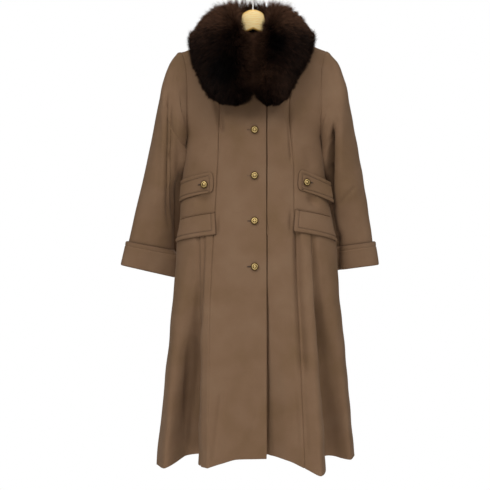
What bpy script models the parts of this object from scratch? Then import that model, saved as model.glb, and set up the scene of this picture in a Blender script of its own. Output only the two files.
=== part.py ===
"""A long A-line wool coat with a fur collar, hung on a flat wooden hanger.

Metres, +Z up. The coat's front faces -Y and the wearer's left is +X. The origin is the inside top of the hook,
where the hanger is held. Every cloth piece is a wall whose outer side lies on one surface, worked out from
the tables below: body levels under the armpit, an arch over the hanger above it, and folds that grow toward
the hem.
"""

import math
from collections import namedtuple

import bmesh
import bpy
import numpy as np
from mathutils import Matrix, Vector

# Cloth
CLOTH = 0.0022  # thickness of every wall
SEAM_GAP = 0.0003  # between two pieces at a seam
LAP_INSET = 0.0036  # how far the under front lies behind the over front
LAP_EDGE = 0.0325  # the over front's free edge, past the centre line
UNDER_EDGE = -0.012  # the under front's hidden edge
LAP_BLEND = (0.040, 0.085)  # across which the under front comes forward to the coat's surface

# Body
ARMPIT = -0.410
HEM = -1.250
HANG_LENGTH = -HEM
SECTION_POWER = 2.2  # of the level sections, 2 would be an ellipse
ARCH_POWER = 2.2  # of the arch from armpit to shoulder
SHOULDER_SPREAD = 0.040  # how much wider the sections grow behind the armholes
SHOULDER_TILT = 0.013  # the coat hangs a little higher on the wearer's left
NECK_HALF_WIDTH = 0.070
FRONT_NECK_DROP = 0.075
BACK_NECK_DROP = 0.022
FOLD_GROWTH = 1.25  # folds widen a little faster than a cone
HEM_GROWTH = 1.5

# How finely the walls are divided
FRONT_COLUMNS = 8
SIDE_COLUMNS = 14
BACK_COLUMNS = 11
ROW_HEIGHTS = [-1.25, -1.16, -1.07, -0.98, -0.90, -0.83, -0.765, -0.71]  # down the skirt
ROW_HEIGHTS += [-0.67, -0.63, -0.59, -0.55, -0.51, -0.46, ARMPIT]  # behind the flaps and tabs
ROWS_ABOVE = 9
CREST_RISE = 0.9975  # one more row just under the shoulder line, to round it over the hanger
SLEEVE_RINGS = 13
CUFF_RINGS = 3

Level = namedtuple("Level", "height right left front back")
# Half widths to the wearer's right and left, and depths to the front and back, at each height
BODY_LEVELS = [
    Level(-0.410, 0.1745, 0.1785, 0.082, 0.072),
    Level(-0.460, 0.1765, 0.1815, 0.081, 0.068),
    Level(-0.507, 0.1835, 0.1872, 0.078, 0.062),
    Level(-0.565, 0.1872, 0.1965, 0.080, 0.064),
    Level(-0.617, 0.1911, 0.2060, 0.087, 0.071),
    Level(-0.671, 0.1968, 0.2145, 0.095, 0.080),
    Level(-0.765, 0.2035, 0.2205, 0.104, 0.090),
    Level(-0.980, 0.2244, 0.2408, 0.118, 0.112),
    Level(-1.250, 0.2530, 0.2650, 0.128, 0.140),
]

Princess = namedtuple("Princess", "height right left")
# How far the princess seams lie from the centre
PRINCESS_SEAMS = [
    Princess(-0.148, 0.1250, 0.1250),
    Princess(-0.220, 0.1070, 0.1090),
    Princess(-0.335, 0.0867, 0.0910),
    Princess(-0.440, 0.0885, 0.0985),
    Princess(-0.507, 0.0915, 0.1025),
    Princess(-0.600, 0.0965, 0.1030),
    Princess(-0.671, 0.1003, 0.1080),
    Princess(-0.850, 0.1075, 0.1120),
    Princess(-0.980, 0.1093, 0.1150),
    Princess(-1.250, 0.1112, 0.1220),
]

ShoulderPoint = namedtuple("ShoulderPoint", "across height")
# The top of the coat over the hanger, and the same line across the neck
SHOULDER_LINE = [
    ShoulderPoint(0.000, -0.0675),
    ShoulderPoint(0.028, -0.0805),
    ShoulderPoint(0.050, -0.0975),
    ShoulderPoint(0.070, -0.1145),
    ShoulderPoint(0.120, -0.1465),
    ShoulderPoint(0.166, -0.1722),
    ShoulderPoint(0.195, -0.1845),
    ShoulderPoint(0.225, -0.1960),
]

ArmholePoint = namedtuple("ArmholePoint", "rise inset")
# How far the armhole lies inside the armpit's half width, from the armpit (0) up to the shoulder (1)
ARMHOLE = [
    ArmholePoint(0.00, 0.0000),
    ArmholePoint(0.12, 0.0030),
    ArmholePoint(0.30, 0.0062),
    ArmholePoint(0.50, 0.0068),
    ArmholePoint(0.70, 0.0050),
    ArmholePoint(0.88, -0.0020),
    ArmholePoint(1.00, -0.0105),
]
SPREAD_RISE = 0.35  # the share of the armhole's height over which the sections widen

HemPoint = namedtuple("HemPoint", "name place share across depth height starts")
# Each panel's hem, from its first edge (place 0) to its second (place 1): its share of the turn between the
# seams, where it lies across and in depth, its height, and the height where the fold that leads to it starts
HEM_POINTS = {
    "front_right": [
        HemPoint("free edge", 0.00, 0.00, 0.0325, -0.1250, -1.2040, -0.75),
        HemPoint("flat front", 0.45, 0.47, -0.0380, -0.1350, -1.2025, -0.80),
        HemPoint("rising", 0.75, 0.75, -0.0768, -0.1450, -1.2096, -0.80),
        HemPoint("princess ridge", 1.00, 1.00, -0.1112, -0.1550, -1.2180, -0.72),
    ],
    "side_front_right": [
        HemPoint("princess ridge", 0.00, 0.00, -0.1112, -0.1550, -1.2180, -0.72),
        HemPoint("fold's edge", 0.20, 0.09, -0.1370, -0.1150, -1.2220, -0.72),
        HemPoint("fold's wall", 0.38, 0.17, -0.1400, -0.0350, -1.2280, -0.70),
        HemPoint("trough", 0.57, 0.30, -0.1720, 0.0000, -1.2317, -0.69),
        HemPoint("side ridge", 0.82, 0.68, -0.2225, -0.0600, -1.2450, -0.80),
        HemPoint("side seam", 1.00, 1.00, -0.2530, 0.0000, -1.2520, -0.75),
    ],
    "back_right": [
        HemPoint("side seam", 0.00, 0.00, -0.2530, 0.0000, -1.2520, -0.75),
        HemPoint("side ridge", 0.20, 0.24, -0.2300, 0.0850, -1.2480, -0.85),
        HemPoint("trough", 0.44, 0.46, -0.1680, 0.0860, -1.2420, -0.72),
        HemPoint("ridge", 0.66, 0.66, -0.1100, 0.1620, -1.2500, -0.70),
        HemPoint("shallow trough", 0.84, 0.84, -0.0500, 0.1260, -1.2440, -0.80),
        HemPoint("centre seam", 1.00, 1.00, 0.0000, 0.1480, -1.2450, -0.85),
    ],
    "back_left": [
        HemPoint("centre seam", 0.00, 0.00, 0.0000, 0.1480, -1.2450, -0.85),
        HemPoint("shallow trough", 0.20, 0.20, 0.0620, 0.1320, -1.2430, -0.90),
        HemPoint("ridge", 0.38, 0.38, 0.1250, 0.1600, -1.2480, -0.72),
        HemPoint("trough", 0.59, 0.56, 0.1820, 0.0820, -1.2380, -0.70),
        HemPoint("side ridge", 0.81, 0.78, 0.2420, 0.0800, -1.2360, -0.80),
        HemPoint("side seam", 1.00, 1.00, 0.2650, 0.0000, -1.2293, -0.75),
    ],
    "side_front_left": [
        HemPoint("side seam", 0.00, 0.00, 0.2650, 0.0000, -1.2293, -0.75),
        HemPoint("side ridge", 0.15, 0.30, 0.2480, -0.0380, -1.2300, -0.80),
        HemPoint("trough", 0.38, 0.62, 0.2120, -0.0180, -1.2295, -0.69),
        HemPoint("fold's wall", 0.58, 0.74, 0.1790, -0.0500, -1.2300, -0.70),
        HemPoint("fold's edge", 0.72, 0.80, 0.1760, -0.1300, -1.2320, -0.72),
        HemPoint("ridge", 0.85, 0.88, 0.1600, -0.1650, -1.2335, -0.74),
        HemPoint("princess seam", 1.00, 1.00, 0.1220, -0.1500, -1.2190, -0.72),
    ],
    "front_left": [
        HemPoint("princess seam", 0.00, 0.00, 0.1220, -0.1500, -1.2190, -0.72),
        HemPoint("falling back", 0.32, 0.32, 0.0840, -0.1260, -1.2080, -0.76),
        HemPoint("under the lap", 0.66, 0.66, 0.0374, -0.0980, -1.2030, -0.76),
        HemPoint("hidden edge", 1.00, 1.00, -0.0120, -0.0920, -1.2030, -0.76),
    ],
}
PANEL_COLUMNS = {
    "front_right": FRONT_COLUMNS,
    "side_front_right": SIDE_COLUMNS,
    "back_right": BACK_COLUMNS,
    "back_left": BACK_COLUMNS,
    "side_front_left": SIDE_COLUMNS,
    "front_left": FRONT_COLUMNS,
}

SleeveRing = namedtuple("SleeveRing", "along outer outer_height outer_back inner inner_height inner_back depth")
# Each sleeve's outer and inner edges, and its half depth between them, from just outside the armhole to its end
SLEEVE_TABLES = {
    "right": [
        SleeveRing(0.00, 0.1935, -0.1850, 0.000, 0.1795, -0.4175, 0.000, 0.053),
        SleeveRing(0.08, 0.2125, -0.2120, 0.000, 0.1802, -0.4230, 0.001, 0.057),
        SleeveRing(0.16, 0.2275, -0.2480, 0.000, 0.1808, -0.4310, 0.003, 0.060),
        SleeveRing(0.27, 0.2403, -0.3045, 0.000, 0.1812, -0.4440, 0.009, 0.061),
        SleeveRing(0.40, 0.2538, -0.3700, 0.000, 0.1812, -0.4660, 0.018, 0.060),
        SleeveRing(0.54, 0.2678, -0.4350, 0.001, 0.1842, -0.4990, 0.031, 0.057),
        SleeveRing(0.68, 0.2806, -0.5050, 0.004, 0.1895, -0.5470, 0.047, 0.053),
        SleeveRing(0.83, 0.3020, -0.5930, 0.014, 0.1975, -0.6200, 0.069, 0.043),
        SleeveRing(0.95, 0.3208, -0.6760, 0.022, 0.2035, -0.7015, 0.084, 0.036),
        SleeveRing(1.00, 0.3430, -0.7335, 0.026, 0.2050, -0.7690, 0.092, 0.035),
    ],
    "left": [
        SleeveRing(0.00, 0.1975, -0.1850, 0.000, 0.1795, -0.4175, 0.000, 0.053),
        SleeveRing(0.08, 0.2190, -0.2120, 0.000, 0.1815, -0.4230, 0.001, 0.057),
        SleeveRing(0.16, 0.2330, -0.2480, 0.000, 0.1828, -0.4310, 0.003, 0.060),
        SleeveRing(0.27, 0.2463, -0.3045, 0.000, 0.1845, -0.4440, 0.009, 0.061),
        SleeveRing(0.40, 0.2586, -0.3700, 0.000, 0.1855, -0.4660, 0.018, 0.060),
        SleeveRing(0.54, 0.2706, -0.4350, 0.001, 0.1880, -0.4990, 0.031, 0.057),
        SleeveRing(0.68, 0.2838, -0.5050, 0.004, 0.1900, -0.5470, 0.047, 0.053),
        SleeveRing(0.83, 0.2988, -0.5930, 0.014, 0.1900, -0.6150, 0.069, 0.043),
        SleeveRing(0.95, 0.3128, -0.6760, 0.022, 0.1903, -0.6945, 0.084, 0.036),
        SleeveRing(1.00, 0.3265, -0.7325, 0.026, 0.1910, -0.7530, 0.092, 0.035),
    ],
}
SLEEVE_TROUGH = (0.012, 128.0, 26.0)  # its depth, and its place and width in degrees from the outer edge
SLEEVE_TROUGH_RUN = (0.15, 0.45)  # along the sleeve, over which the trough comes in
CUFF_LEVEL = 0.9  # how far the rings are turned level from front to back, and where along the sleeve
CUFF_LEVEL_RUN = (0.72, 0.95)
HEAD_BLEND = 0.22  # along the sleeve, over which the armhole's shape rounds out

CUFF_TOP = 0.948  # where along the sleeve the turned back cuff ends
CUFF_BOTTOM_OFF = 0.0005  # its inside above the sleeve, at the fold and at its top edge
CUFF_TOP_OFF = 0.0062

CollarStation = namedtuple("CollarStation", "along across depth height half_width half_thick out_x out_y out_z")
# The fur's roll from the centre back, over the shoulder and down to its round front end, on the wearer's left
COLLAR_STATIONS = [
    CollarStation(0.00, 0.000, 0.082, -0.1120, 0.0700, 0.0290, 0.00, 0.95, 0.30),
    CollarStation(0.13, 0.048, 0.070, -0.1100, 0.0680, 0.0310, 0.25, 0.80, 0.50),
    CollarStation(0.26, 0.086, 0.038, -0.1100, 0.0640, 0.0330, 0.48, 0.40, 0.80),
    CollarStation(0.38, 0.102, -0.004, -0.1180, 0.0680, 0.0360, 0.55, -0.05, 0.83),
    CollarStation(0.50, 0.096, -0.052, -0.1480, 0.0720, 0.0400, 0.36, -0.60, 0.72),
    CollarStation(0.62, 0.0805, -0.088, -0.2020, 0.0790, 0.0400, 0.12, -0.92, 0.38),
    CollarStation(0.75, 0.0722, -0.107, -0.2520, 0.0712, 0.0370, 0.05, -0.99, 0.12),
    CollarStation(0.86, 0.0640, -0.112, -0.2900, 0.0635, 0.0340, 0.02, -1.00, 0.05),
    CollarStation(0.94, 0.0625, -0.111, -0.3180, 0.0490, 0.0280, 0.00, -1.00, 0.02),
    CollarStation(1.00, 0.0640, -0.108, -0.3370, 0.0220, 0.0140, 0.00, -1.00, 0.00),
]
# How wide each side lies, over the shoulder and then at its front end, and where along the roll that changes
COLLAR_SPREAD = {"right": (0.985, 0.975), "left": (0.945, 0.775)}
COLLAR_SPREAD_CHANGE = (0.45, 0.85)
COLLAR_CLEAR = 0.0035  # the fur's underside above the cloth
COLLAR_HALVES_GAP = 0.0012  # from the centre line to each front end
COLLAR_STEPS = 38
COLLAR_SIDES = 14
COLLAR_POWER = 2.15

Corner = namedtuple("Corner", "across height")
# Corners of what lies on the fronts: inner top, outer top, outer bottom, inner bottom
POCKET_FLAPS = {
    "right": (Corner(0.0954, -0.599), Corner(0.184, -0.6145), Corner(0.194, -0.6735), Corner(0.0915, -0.6558)),
    "left": (Corner(0.1042, -0.5915), Corner(0.196, -0.609), Corner(0.2115, -0.6725), Corner(0.0985, -0.6478)),
}
WAIST_TABS = {
    "right": (Corner(0.099, -0.4975), Corner(0.1815, -0.5155), Corner(0.186, -0.572), Corner(0.0985, -0.5505)),
    "left": (Corner(0.113, -0.491), Corner(0.187, -0.521), Corner(0.1955, -0.576), Corner(0.110, -0.545)),
}
APPLIED_THICK = 0.0030  # two layers of cloth
APPLIED_GAP = 0.0009
FLAP_STAND_OFF = 0.0030  # at the flap's loose lower edge
TAB_STAND_OFF = {"right": 0.002, "left": 0.011}  # at the tab's outer end, which sags away from the side
TAB_ROUNDING = 0.013  # how far the tab's free end is rounded
TAB_ROUNDING_POWER = 3.0
APPLIED_COLUMNS = 8
APPLIED_ROWS = 4

BUTTON_RADIUS = 0.0093
BUTTON_HEIGHT = 0.0055
BUTTON_STEPS = 16
BUTTON_GAP = 0.0004
SHANK_RADIUS = 0.0024
SHANK_LENGTH = 0.0022
FacePoint = namedtuple("FacePoint", "radius_share height_share")
# The button's face, from its edge over the rim and the ring to the boss in the middle
BUTTON_FACE = [
    FacePoint(1.00, 0.65),
    FacePoint(0.82, 0.90),
    FacePoint(0.55, 0.78),
    FacePoint(0.35, 1.00),
    FacePoint(0.00, 1.00),
]
FRONT_BUTTON_ACROSS = 0.0030
FRONT_BUTTON_HEIGHTS = [-0.3940, -0.5078, -0.6216, -0.7349]
TAB_BUTTONS = {"right": Corner(0.1227, -0.5296), "left": Corner(0.1341, -0.5239)}

HANGER_THICK = 0.012
HANGER_HALF_WIDTH = 0.177
HANGER_CLEAR = 0.0017
HANGER_BEVEL = 0.0035
HANGER_STEPS = 13
HangerPoint = namedtuple("HangerPoint", "across height")
HANGER_UNDERSIDE = [
    HangerPoint(0.000, -0.1180),
    HangerPoint(0.030, -0.1310),
    HangerPoint(0.070, -0.1480),
    HangerPoint(0.120, -0.1740),
    HangerPoint(0.150, -0.1880),
    HangerPoint(0.177, -0.1960),
]
WIRE_RADIUS = 0.0019
HOOK_INSIDE = 0.020  # radius inside the bend
HOOK_START = -50.0  # degrees round the bend, from +X
HOOK_END = 200.0
HOOK_STEPS = (22, 7)  # round the bend, and from the shank to it
SHANK_TOP = -0.052
SHANK_OFF_WOOD = 0.0003  # between the shank's foot and the wood

SIDES = {"right": -1, "left": 1}
DEGREE = math.pi / 180


# Curves through the tables


def smooth_curve(knots, values, at):
    """A smooth curve through a table's values, level at each peak and trough, so that it never overshoots."""
    knots, values = np.asarray(knots, float), np.asarray(values, float)
    if knots[0] > knots[-1]:
        knots, values = knots[::-1], values[::-1]
    at = np.clip(at, knots[0], knots[-1])
    steps = np.diff(knots)
    slopes = np.diff(values) / steps
    product = slopes[:-1] * slopes[1:]
    total = np.where(product > 0, slopes[:-1] + slopes[1:], 1)
    tangents = np.concatenate([slopes[:1], np.where(product > 0, 2 * product / total, 0), slopes[-1:]])
    index = np.clip(np.searchsorted(knots, at) - 1, 0, len(steps) - 1)
    share = (at - knots[index]) / steps[index]
    rest = 1 - share
    ends = values[index] * rest**2 * (1 + 2 * share) + values[index + 1] * share**2 * (1 + 2 * rest)
    return ends + steps[index] * share * rest * (tangents[index] * rest - tangents[index + 1] * share)


def from_table(rows, column, at, key):
    return smooth_curve([getattr(row, key) for row in rows], [getattr(row, column) for row in rows], at)


def eased(share):
    share = np.clip(share, 0, 1)
    return share * share * (3 - 2 * share)


def unit(vectors):
    return vectors / np.maximum(np.linalg.norm(vectors, axis=-1, keepdims=True), 1e-12)


# The body's surface


def level(column, height):
    return from_table(BODY_LEVELS, column, height, "height")


def half_width(sign, height):
    return np.where(sign < 0, level("right", height), level("left", height))


def princess_across(sign, height):
    right = from_table(PRINCESS_SEAMS, "right", height, "height")
    left = from_table(PRINCESS_SEAMS, "left", height, "height")
    return np.where(sign < 0, -right, left)


def shoulder_height(across):
    return from_table(SHOULDER_LINE, "height", np.abs(across), "across") + SHOULDER_TILT * across


def section_depth(share):
    """How deep a level section is at a share of its half width."""
    return np.maximum(1 - np.abs(share) ** SECTION_POWER, 0) ** (1 / SECTION_POWER)


def front_turn(across, height):
    """The turn round the body, in radians from the centre front, of a place on the front."""
    share = np.clip(np.abs(across) / half_width(across, height), 0, 1)
    return np.sign(across) * np.arcsin(share ** (SECTION_POWER / 2))


def body_point(turn, height):
    """A point under the armpit, without folds. Turn is 0 at the centre front, a quarter at the wearer's left."""
    side, forward = np.sin(turn), np.cos(turn)
    depth = np.where(forward > 0, level("front", height), level("back", height))
    across = np.sign(side) * half_width(side, height) * np.abs(side) ** (2 / SECTION_POWER)
    along = -np.sign(forward) * depth * np.abs(forward) ** (2 / SECTION_POWER)
    return np.stack(np.broadcast_arrays(across, along, height), axis=-1)


def arch_point(across, rise, back):
    """A point above the armpit, at a share of the way up to the shoulder line, on the front or the back."""
    widening = SHOULDER_SPREAD * eased(rise / SPREAD_RISE)
    depth = level("back" if back else "front", ARMPIT) * section_depth(
        across / (half_width(across, ARMPIT) + widening)
    )
    along = depth * np.maximum(1 - rise**ARCH_POWER, 0) ** (1 / ARCH_POWER)
    along = np.maximum(along, SEAM_GAP / 2) if back else -np.maximum(along, SEAM_GAP / 2)
    height = ARMPIT + (shoulder_height(across) - ARMPIT) * rise
    return np.stack(np.broadcast_arrays(across, along, height), axis=-1)


def neck_rise(across, drop):
    """The share of the way up at which a panel ends, 1 on the shoulder and less along the neckline."""
    inside = np.clip(1 - (across / NECK_HALF_WIDTH) ** 2, 0, 1)
    side = shoulder_height(np.sign(across) * NECK_HALF_WIDTH)
    top = np.where(inside > 0, side - drop * np.sqrt(inside), shoulder_height(across))
    return np.minimum((top - ARMPIT) / (shoulder_height(across) - ARMPIT), 1)


def armhole_rises():
    """The rows above the armpit, as shares of the way up, closer together near both ends."""
    steps = 0.5 - 0.5 * np.cos(math.pi * np.linspace(0, 1, ROWS_ABOVE + 1))
    return np.sort(np.append(steps, CREST_RISE))


def armhole_across(sign, rise):
    return sign * (half_width(sign, ARMPIT) - from_table(ARMHOLE, "inset", rise, "rise"))


def seam_turns(panel, height):
    """The turns of a panel's two edges at a height."""
    sign = -1 if panel.endswith("right") else 1
    princess = front_turn(princess_across(sign, height), height)
    quarter = np.full_like(height, sign * math.pi / 2)
    half = np.full_like(height, sign * math.pi)
    return {
        "front_right": (front_turn(LAP_EDGE, height), princess),
        "side_front_right": (princess, quarter),
        "back_right": (quarter, half),
        "back_left": (half, quarter),
        "side_front_left": (quarter, princess),
        "front_left": (princess, front_turn(UNDER_EDGE, height)),
    }[panel]


def panel_below(panel, places):
    """A panel's points from the hem up to the armpit, a row for each level."""
    rows = HEM_POINTS[panel]
    share, across, depth, height, starts = (
        from_table(rows, column, places, "place") for column in ("share", "across", "depth", "height", "starts")
    )
    levels = np.array(ROW_HEIGHTS)[:, None]
    first, second = seam_turns(panel, levels)
    plain = body_point(first + (second - first) * share, levels)
    hem = body_point((first + (second - first) * share)[:1], levels[:1])
    growth = np.clip((starts - levels) / (starts - HEM), 0, 1) ** FOLD_GROWTH
    moved = np.stack([across - hem[..., 0], depth - hem[..., 1]], axis=-1)
    plain[..., :2] += growth[..., None] * moved
    plain[..., 2] += (height - HEM) * ((ARMPIT - levels) / (ARMPIT - HEM)) ** HEM_GROWTH
    return plain


def upper_edges(panel, rise):
    """How far across a panel's two edges lie above the armpit, the one nearer the centre first."""
    sign = -1 if panel.endswith("right") else 1
    princess = princess_across(sign, ARMPIT + (PRINCESS_SEAMS[0].height - ARMPIT) * rise)
    if panel.startswith("front"):
        return (LAP_EDGE if sign < 0 else UNDER_EDGE), princess
    if panel.startswith("side_front"):
        return princess, armhole_across(sign, rise)
    return 0.0, armhole_across(sign, rise)


def panel_above(panel, start):
    """A panel's points above the armpit, from its top row below."""
    back = panel.startswith("back")
    drop = BACK_NECK_DROP if back else FRONT_NECK_DROP
    steps = armhole_rises()[1:, None]
    inner, outer = upper_edges(panel, np.zeros(1))
    share = (start[:, 0] - inner) / (outer - inner)
    inner, outer = upper_edges(panel, np.ones(1))
    rise = steps * neck_rise(inner + (outer - inner) * share, drop)
    inner, outer = upper_edges(panel, rise)
    return arch_point(inner + (outer - inner) * share, rise, back)


def under_lap(points):
    """The under front's points, moved back behind the over front."""
    start, end = LAP_BLEND
    inset = LAP_INSET * (1 - eased((points[..., 0] - start) / (end - start)))
    moved = points.copy()
    moved[..., 1] += inset
    return moved


def body_panels():
    """Every body panel's outer points and outward directions, worked out together so that seams meet square."""
    grids = {}
    for panel, columns in PANEL_COLUMNS.items():
        below = panel_below(panel, np.linspace(0, 1, columns + 1))
        points = np.concatenate([below, panel_above(panel, below[-1])])
        grids[panel] = under_lap(points) if panel == "front_left" else points
    names = list(grids)
    outward = {}
    for index, panel in enumerate(names):
        before = grids[names[index - 1]][:, -2:-1] if index else None
        after = grids[names[index + 1]][:, 1:2] if index + 1 < len(names) else None
        outward[panel] = grid_directions(panel, grids[panel], before, after)
    return grids, outward


def grid_directions(panel, points, before, after):
    """Outward directions of a grid, with its neighbours' columns where a seam joins them."""
    up = np.gradient(points, axis=0)
    up[-1, :, 2] = np.where(panel_top_is_seam(points), 0, up[-1, :, 2])
    round_body = np.gradient(points, axis=1)
    for column, neighbour in ((0, before), (-1, after)):
        if neighbour is None:
            continue
        joined = np.ones(len(points), bool)
        if is_side_seam(panel, column):
            joined[len(ROW_HEIGHTS) :] = False
        step = points[:, 1] - neighbour[:, 0] if column == 0 else neighbour[:, 0] - points[:, -2]
        round_body[joined, column] = step[joined]
    return unit(np.cross(up, round_body))


def is_side_seam(panel, column):
    first = {"back_right", "side_front_left"}
    second = {"side_front_right", "back_left"}
    return (column == 0 and panel in first) or (column == -1 and panel in second)


def panel_top_is_seam(points):
    """Which columns end at the shoulder seam, where the wall's edge stands upright."""
    return np.abs(points[-1, :, 1]) <= SEAM_GAP / 2 + 1e-6


def trimmed(points):
    """A grid with its outer columns drawn in by half the seam gap."""
    points = points.copy()
    points[:, 0] += unit(points[:, 1] - points[:, 0]) * SEAM_GAP / 2
    points[:, -1] += unit(points[:, -2] - points[:, -1]) * SEAM_GAP / 2
    return points


# Sleeves and cuffs


def armhole_loop(grids, side):
    """The armhole from its top, down the front to the armpit and up the back."""
    front, back = grids[f"side_front_{side}"], grids[f"back_{side}"]
    front_column, back_column = (-1, 0) if side == "right" else (0, -1)
    armpit = len(ROW_HEIGHTS) - 1
    down = front[armpit:, front_column][::-1]
    up = back[armpit:, back_column]
    return np.concatenate([down, up[1:-1]])


def ring_turns():
    """Turns round a sleeve, 0 at its outer edge and a half at its inner edge, one for each armhole point."""
    down = np.arccos(2 * armhole_rises()[::-1] - 1)
    return np.concatenate([down, 2 * math.pi - down[-2:0:-1]])


def sleeve_points(grids, side, places):
    """Rings of a sleeve's outer side at places along it, 0 at the armhole and 1 at its end."""
    sign = SIDES[side]

    def along_sleeve(column):
        return from_table(SLEEVE_TABLES[side], column, places, "along")

    def edge(name):
        edge_line = [sign * along_sleeve(name), along_sleeve(f"{name}_back"), along_sleeve(f"{name}_height")]
        return np.stack(edge_line, axis=-1)

    outer = edge("outer")
    inner = edge("inner")
    depth = along_sleeve("depth")
    middle, half = (outer + inner) / 2, (outer - inner) / 2
    forward = unit(np.cross(half, np.gradient(middle, places, axis=0)))
    forward *= -np.sign(forward[:, 1:2])
    start, end = CUFF_LEVEL_RUN
    forward[:, 2] *= 1 - CUFF_LEVEL * eased((places - start) / (end - start))
    forward = unit(forward)
    turns = ring_turns()
    rings = middle[:, None] + half[:, None] * np.cos(turns)[None, :, None]
    rings += (forward * depth[:, None])[:, None] * np.sin(turns)[None, :, None]

    loop = armhole_loop(grids, side)
    rise = (loop[:, 2] - loop[:, 2].min()) / (loop[:, 2].max() - loop[:, 2].min())
    shaped = inner[:, None] + (outer - inner)[:, None] * rise[None, :, None]
    shaped[..., 1] = loop[:, 1] * depth[:, None] / np.abs(loop[:, 1]).max()
    blend = eased(places / HEAD_BLEND)[:, None, None]
    rings = shaped * (1 - blend) + rings * blend

    trough, place, width = SLEEVE_TROUGH
    start, end = SLEEVE_TROUGH_RUN
    dent = trough * np.exp(-(((turns / DEGREE - place) / width) ** 2))
    run = eased((places - start) / (end - start))
    centre = rings.mean(axis=1, keepdims=True)
    return rings + unit(centre - rings) * dent[None, :, None] * run[:, None, None]


def sleeve_rings(grids, outward, side):
    """A sleeve's outer points and directions, its first ring on the armhole."""
    rings = sleeve_points(grids, side, np.linspace(0, 1, SLEEVE_RINGS))
    loop = armhole_loop(grids, side)
    rings = np.concatenate([(loop + unit(rings[0] - loop) * SEAM_GAP)[None], rings])
    directions = tube_directions(rings)
    body = armhole_loop(outward, side)
    rise = (loop[:, 2] - loop[:, 2].min()) / (loop[:, 2].max() - loop[:, 2].min())
    like_body = eased((rise - 0.5) / 0.3)[:, None]
    directions[0] = unit(directions[0] * (1 - like_body) + body * like_body)
    return rings, directions


def tube_directions(rings):
    """Outward directions of a tube of rings."""
    along = np.gradient(rings, axis=0)
    around = np.roll(rings, -1, axis=1) - np.roll(rings, 1, axis=1)
    outward = unit(np.cross(along, around))
    away = rings - rings.mean(axis=1, keepdims=True)
    return outward * np.sign((outward * away).sum(axis=-1).sum())


def cuff_rings(grids, side):
    """A cuff's inner points, which are the sleeve's moved out, and their directions."""
    places = np.linspace(CUFF_TOP, 1, CUFF_RINGS)
    sleeve = sleeve_points(grids, side, places)
    directions = tube_directions(sleeve)
    off = np.linspace(CUFF_TOP_OFF, CUFF_BOTTOM_OFF, CUFF_RINGS)[:, None, None]
    return sleeve + directions * off, directions


# Walls


def solid(name, vertices, faces, material):
    """A closed mesh object with its faces turned outward."""
    mesh = bpy.data.meshes.new(name)
    mesh.from_pydata([tuple(map(float, vertex)) for vertex in vertices], [], faces)
    work = bmesh.new()
    work.from_mesh(mesh)
    bmesh.ops.recalc_face_normals(work, faces=work.faces)
    work.to_mesh(mesh)
    work.free()
    mesh.shade_smooth()
    mesh.set_sharp_from_angle(angle=40 * DEGREE)
    return placed(name, mesh, material)


def placed(name, mesh, material):
    thing = bpy.data.objects.new(name, mesh)
    mesh.materials.append(material)
    bpy.context.scene.collection.objects.link(thing)
    return thing


def wall(name, outer, inner, material, closed_round=False):
    """A cloth wall between two grids of points. A tube's columns close round on themselves."""
    rows, columns = outer.shape[:2]
    number = np.arange(rows * columns).reshape(rows, columns)
    far = number + rows * columns
    spans = columns if closed_round else columns - 1
    faces = []
    for row in range(rows - 1):
        for column in range(spans):
            after = (column + 1) % columns
            quad = (number[row, column], number[row + 1, column], number[row + 1, after], number[row, after])
            faces.append([int(v) for v in quad])
            faces.append([int(v) + rows * columns for v in reversed(quad)])
    for row, flip in ((0, False), (rows - 1, True)):
        for column in range(spans):
            after = (column + 1) % columns
            rim = [number[row, column], number[row, after], far[row, after], far[row, column]]
            faces.append([int(v) for v in (reversed(rim) if flip else rim)])
    if not closed_round:
        for column, flip in ((0, True), (columns - 1, False)):
            for row in range(rows - 1):
                rim = [number[row, column], number[row + 1, column], far[row + 1, column], far[row, column]]
                faces.append([int(v) for v in (reversed(rim) if flip else rim)])
    vertices = np.concatenate([outer.reshape(-1, 3), inner.reshape(-1, 3)])
    return solid(name, vertices, faces, material)


# What lies on the fronts


def front_patch(panel_side, corners, columns, rows, rounding):
    """Points and outward directions of a four-sided patch on the front, its first columns at the inner end."""
    sign = SIDES[panel_side]
    inner_top, outer_top, outer_bottom, inner_bottom = corners
    share = np.linspace(0, 1, columns + 1)[None, :]
    down = np.linspace(0, 1, rows + 1)[:, None]
    round_off = rounding * (1 - (1 - np.abs(2 * down - 1) ** TAB_ROUNDING_POWER * 0.98) ** (1 / TAB_ROUNDING_POWER))
    inner_across = inner_top.across + (inner_bottom.across - inner_top.across) * down + round_off
    inner_height = inner_top.height + (inner_bottom.height - inner_top.height) * down
    outer_across = outer_top.across + (outer_bottom.across - outer_top.across) * down
    outer_height = outer_top.height + (outer_bottom.height - outer_top.height) * down
    height = inner_height + (outer_height - inner_height) * share
    inner_turn = front_turn(sign * inner_across, inner_height)
    outer_turn = front_turn(sign * outer_across, outer_height)
    turn = inner_turn + (outer_turn - inner_turn) * share
    points = body_point(turn, height)
    nearby = 0.001
    around = body_point(turn + nearby, height) - body_point(turn - nearby, height)
    above = body_point(turn, height + nearby) - body_point(turn, height - nearby)
    return points, unit(np.cross(around, above))


def pocket_flap(side, material):
    points, outward = front_patch(side, POCKET_FLAPS[side], APPLIED_COLUMNS, APPLIED_ROWS, 0)
    loose = np.linspace(0, 1, APPLIED_ROWS + 1)[:, None, None]
    inner = points + outward * (APPLIED_GAP + FLAP_STAND_OFF * loose**2)
    return wall(f"pocket_flap_{side}", inner + outward * APPLIED_THICK, inner, material)


def tab_surface(side):
    points, outward = front_patch(side, WAIST_TABS[side], APPLIED_COLUMNS, APPLIED_ROWS, TAB_ROUNDING)
    reach = np.linspace(0, 1, APPLIED_COLUMNS + 1)[None, :, None]
    return points + outward * (APPLIED_GAP + TAB_STAND_OFF[side] * reach**3), outward


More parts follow.
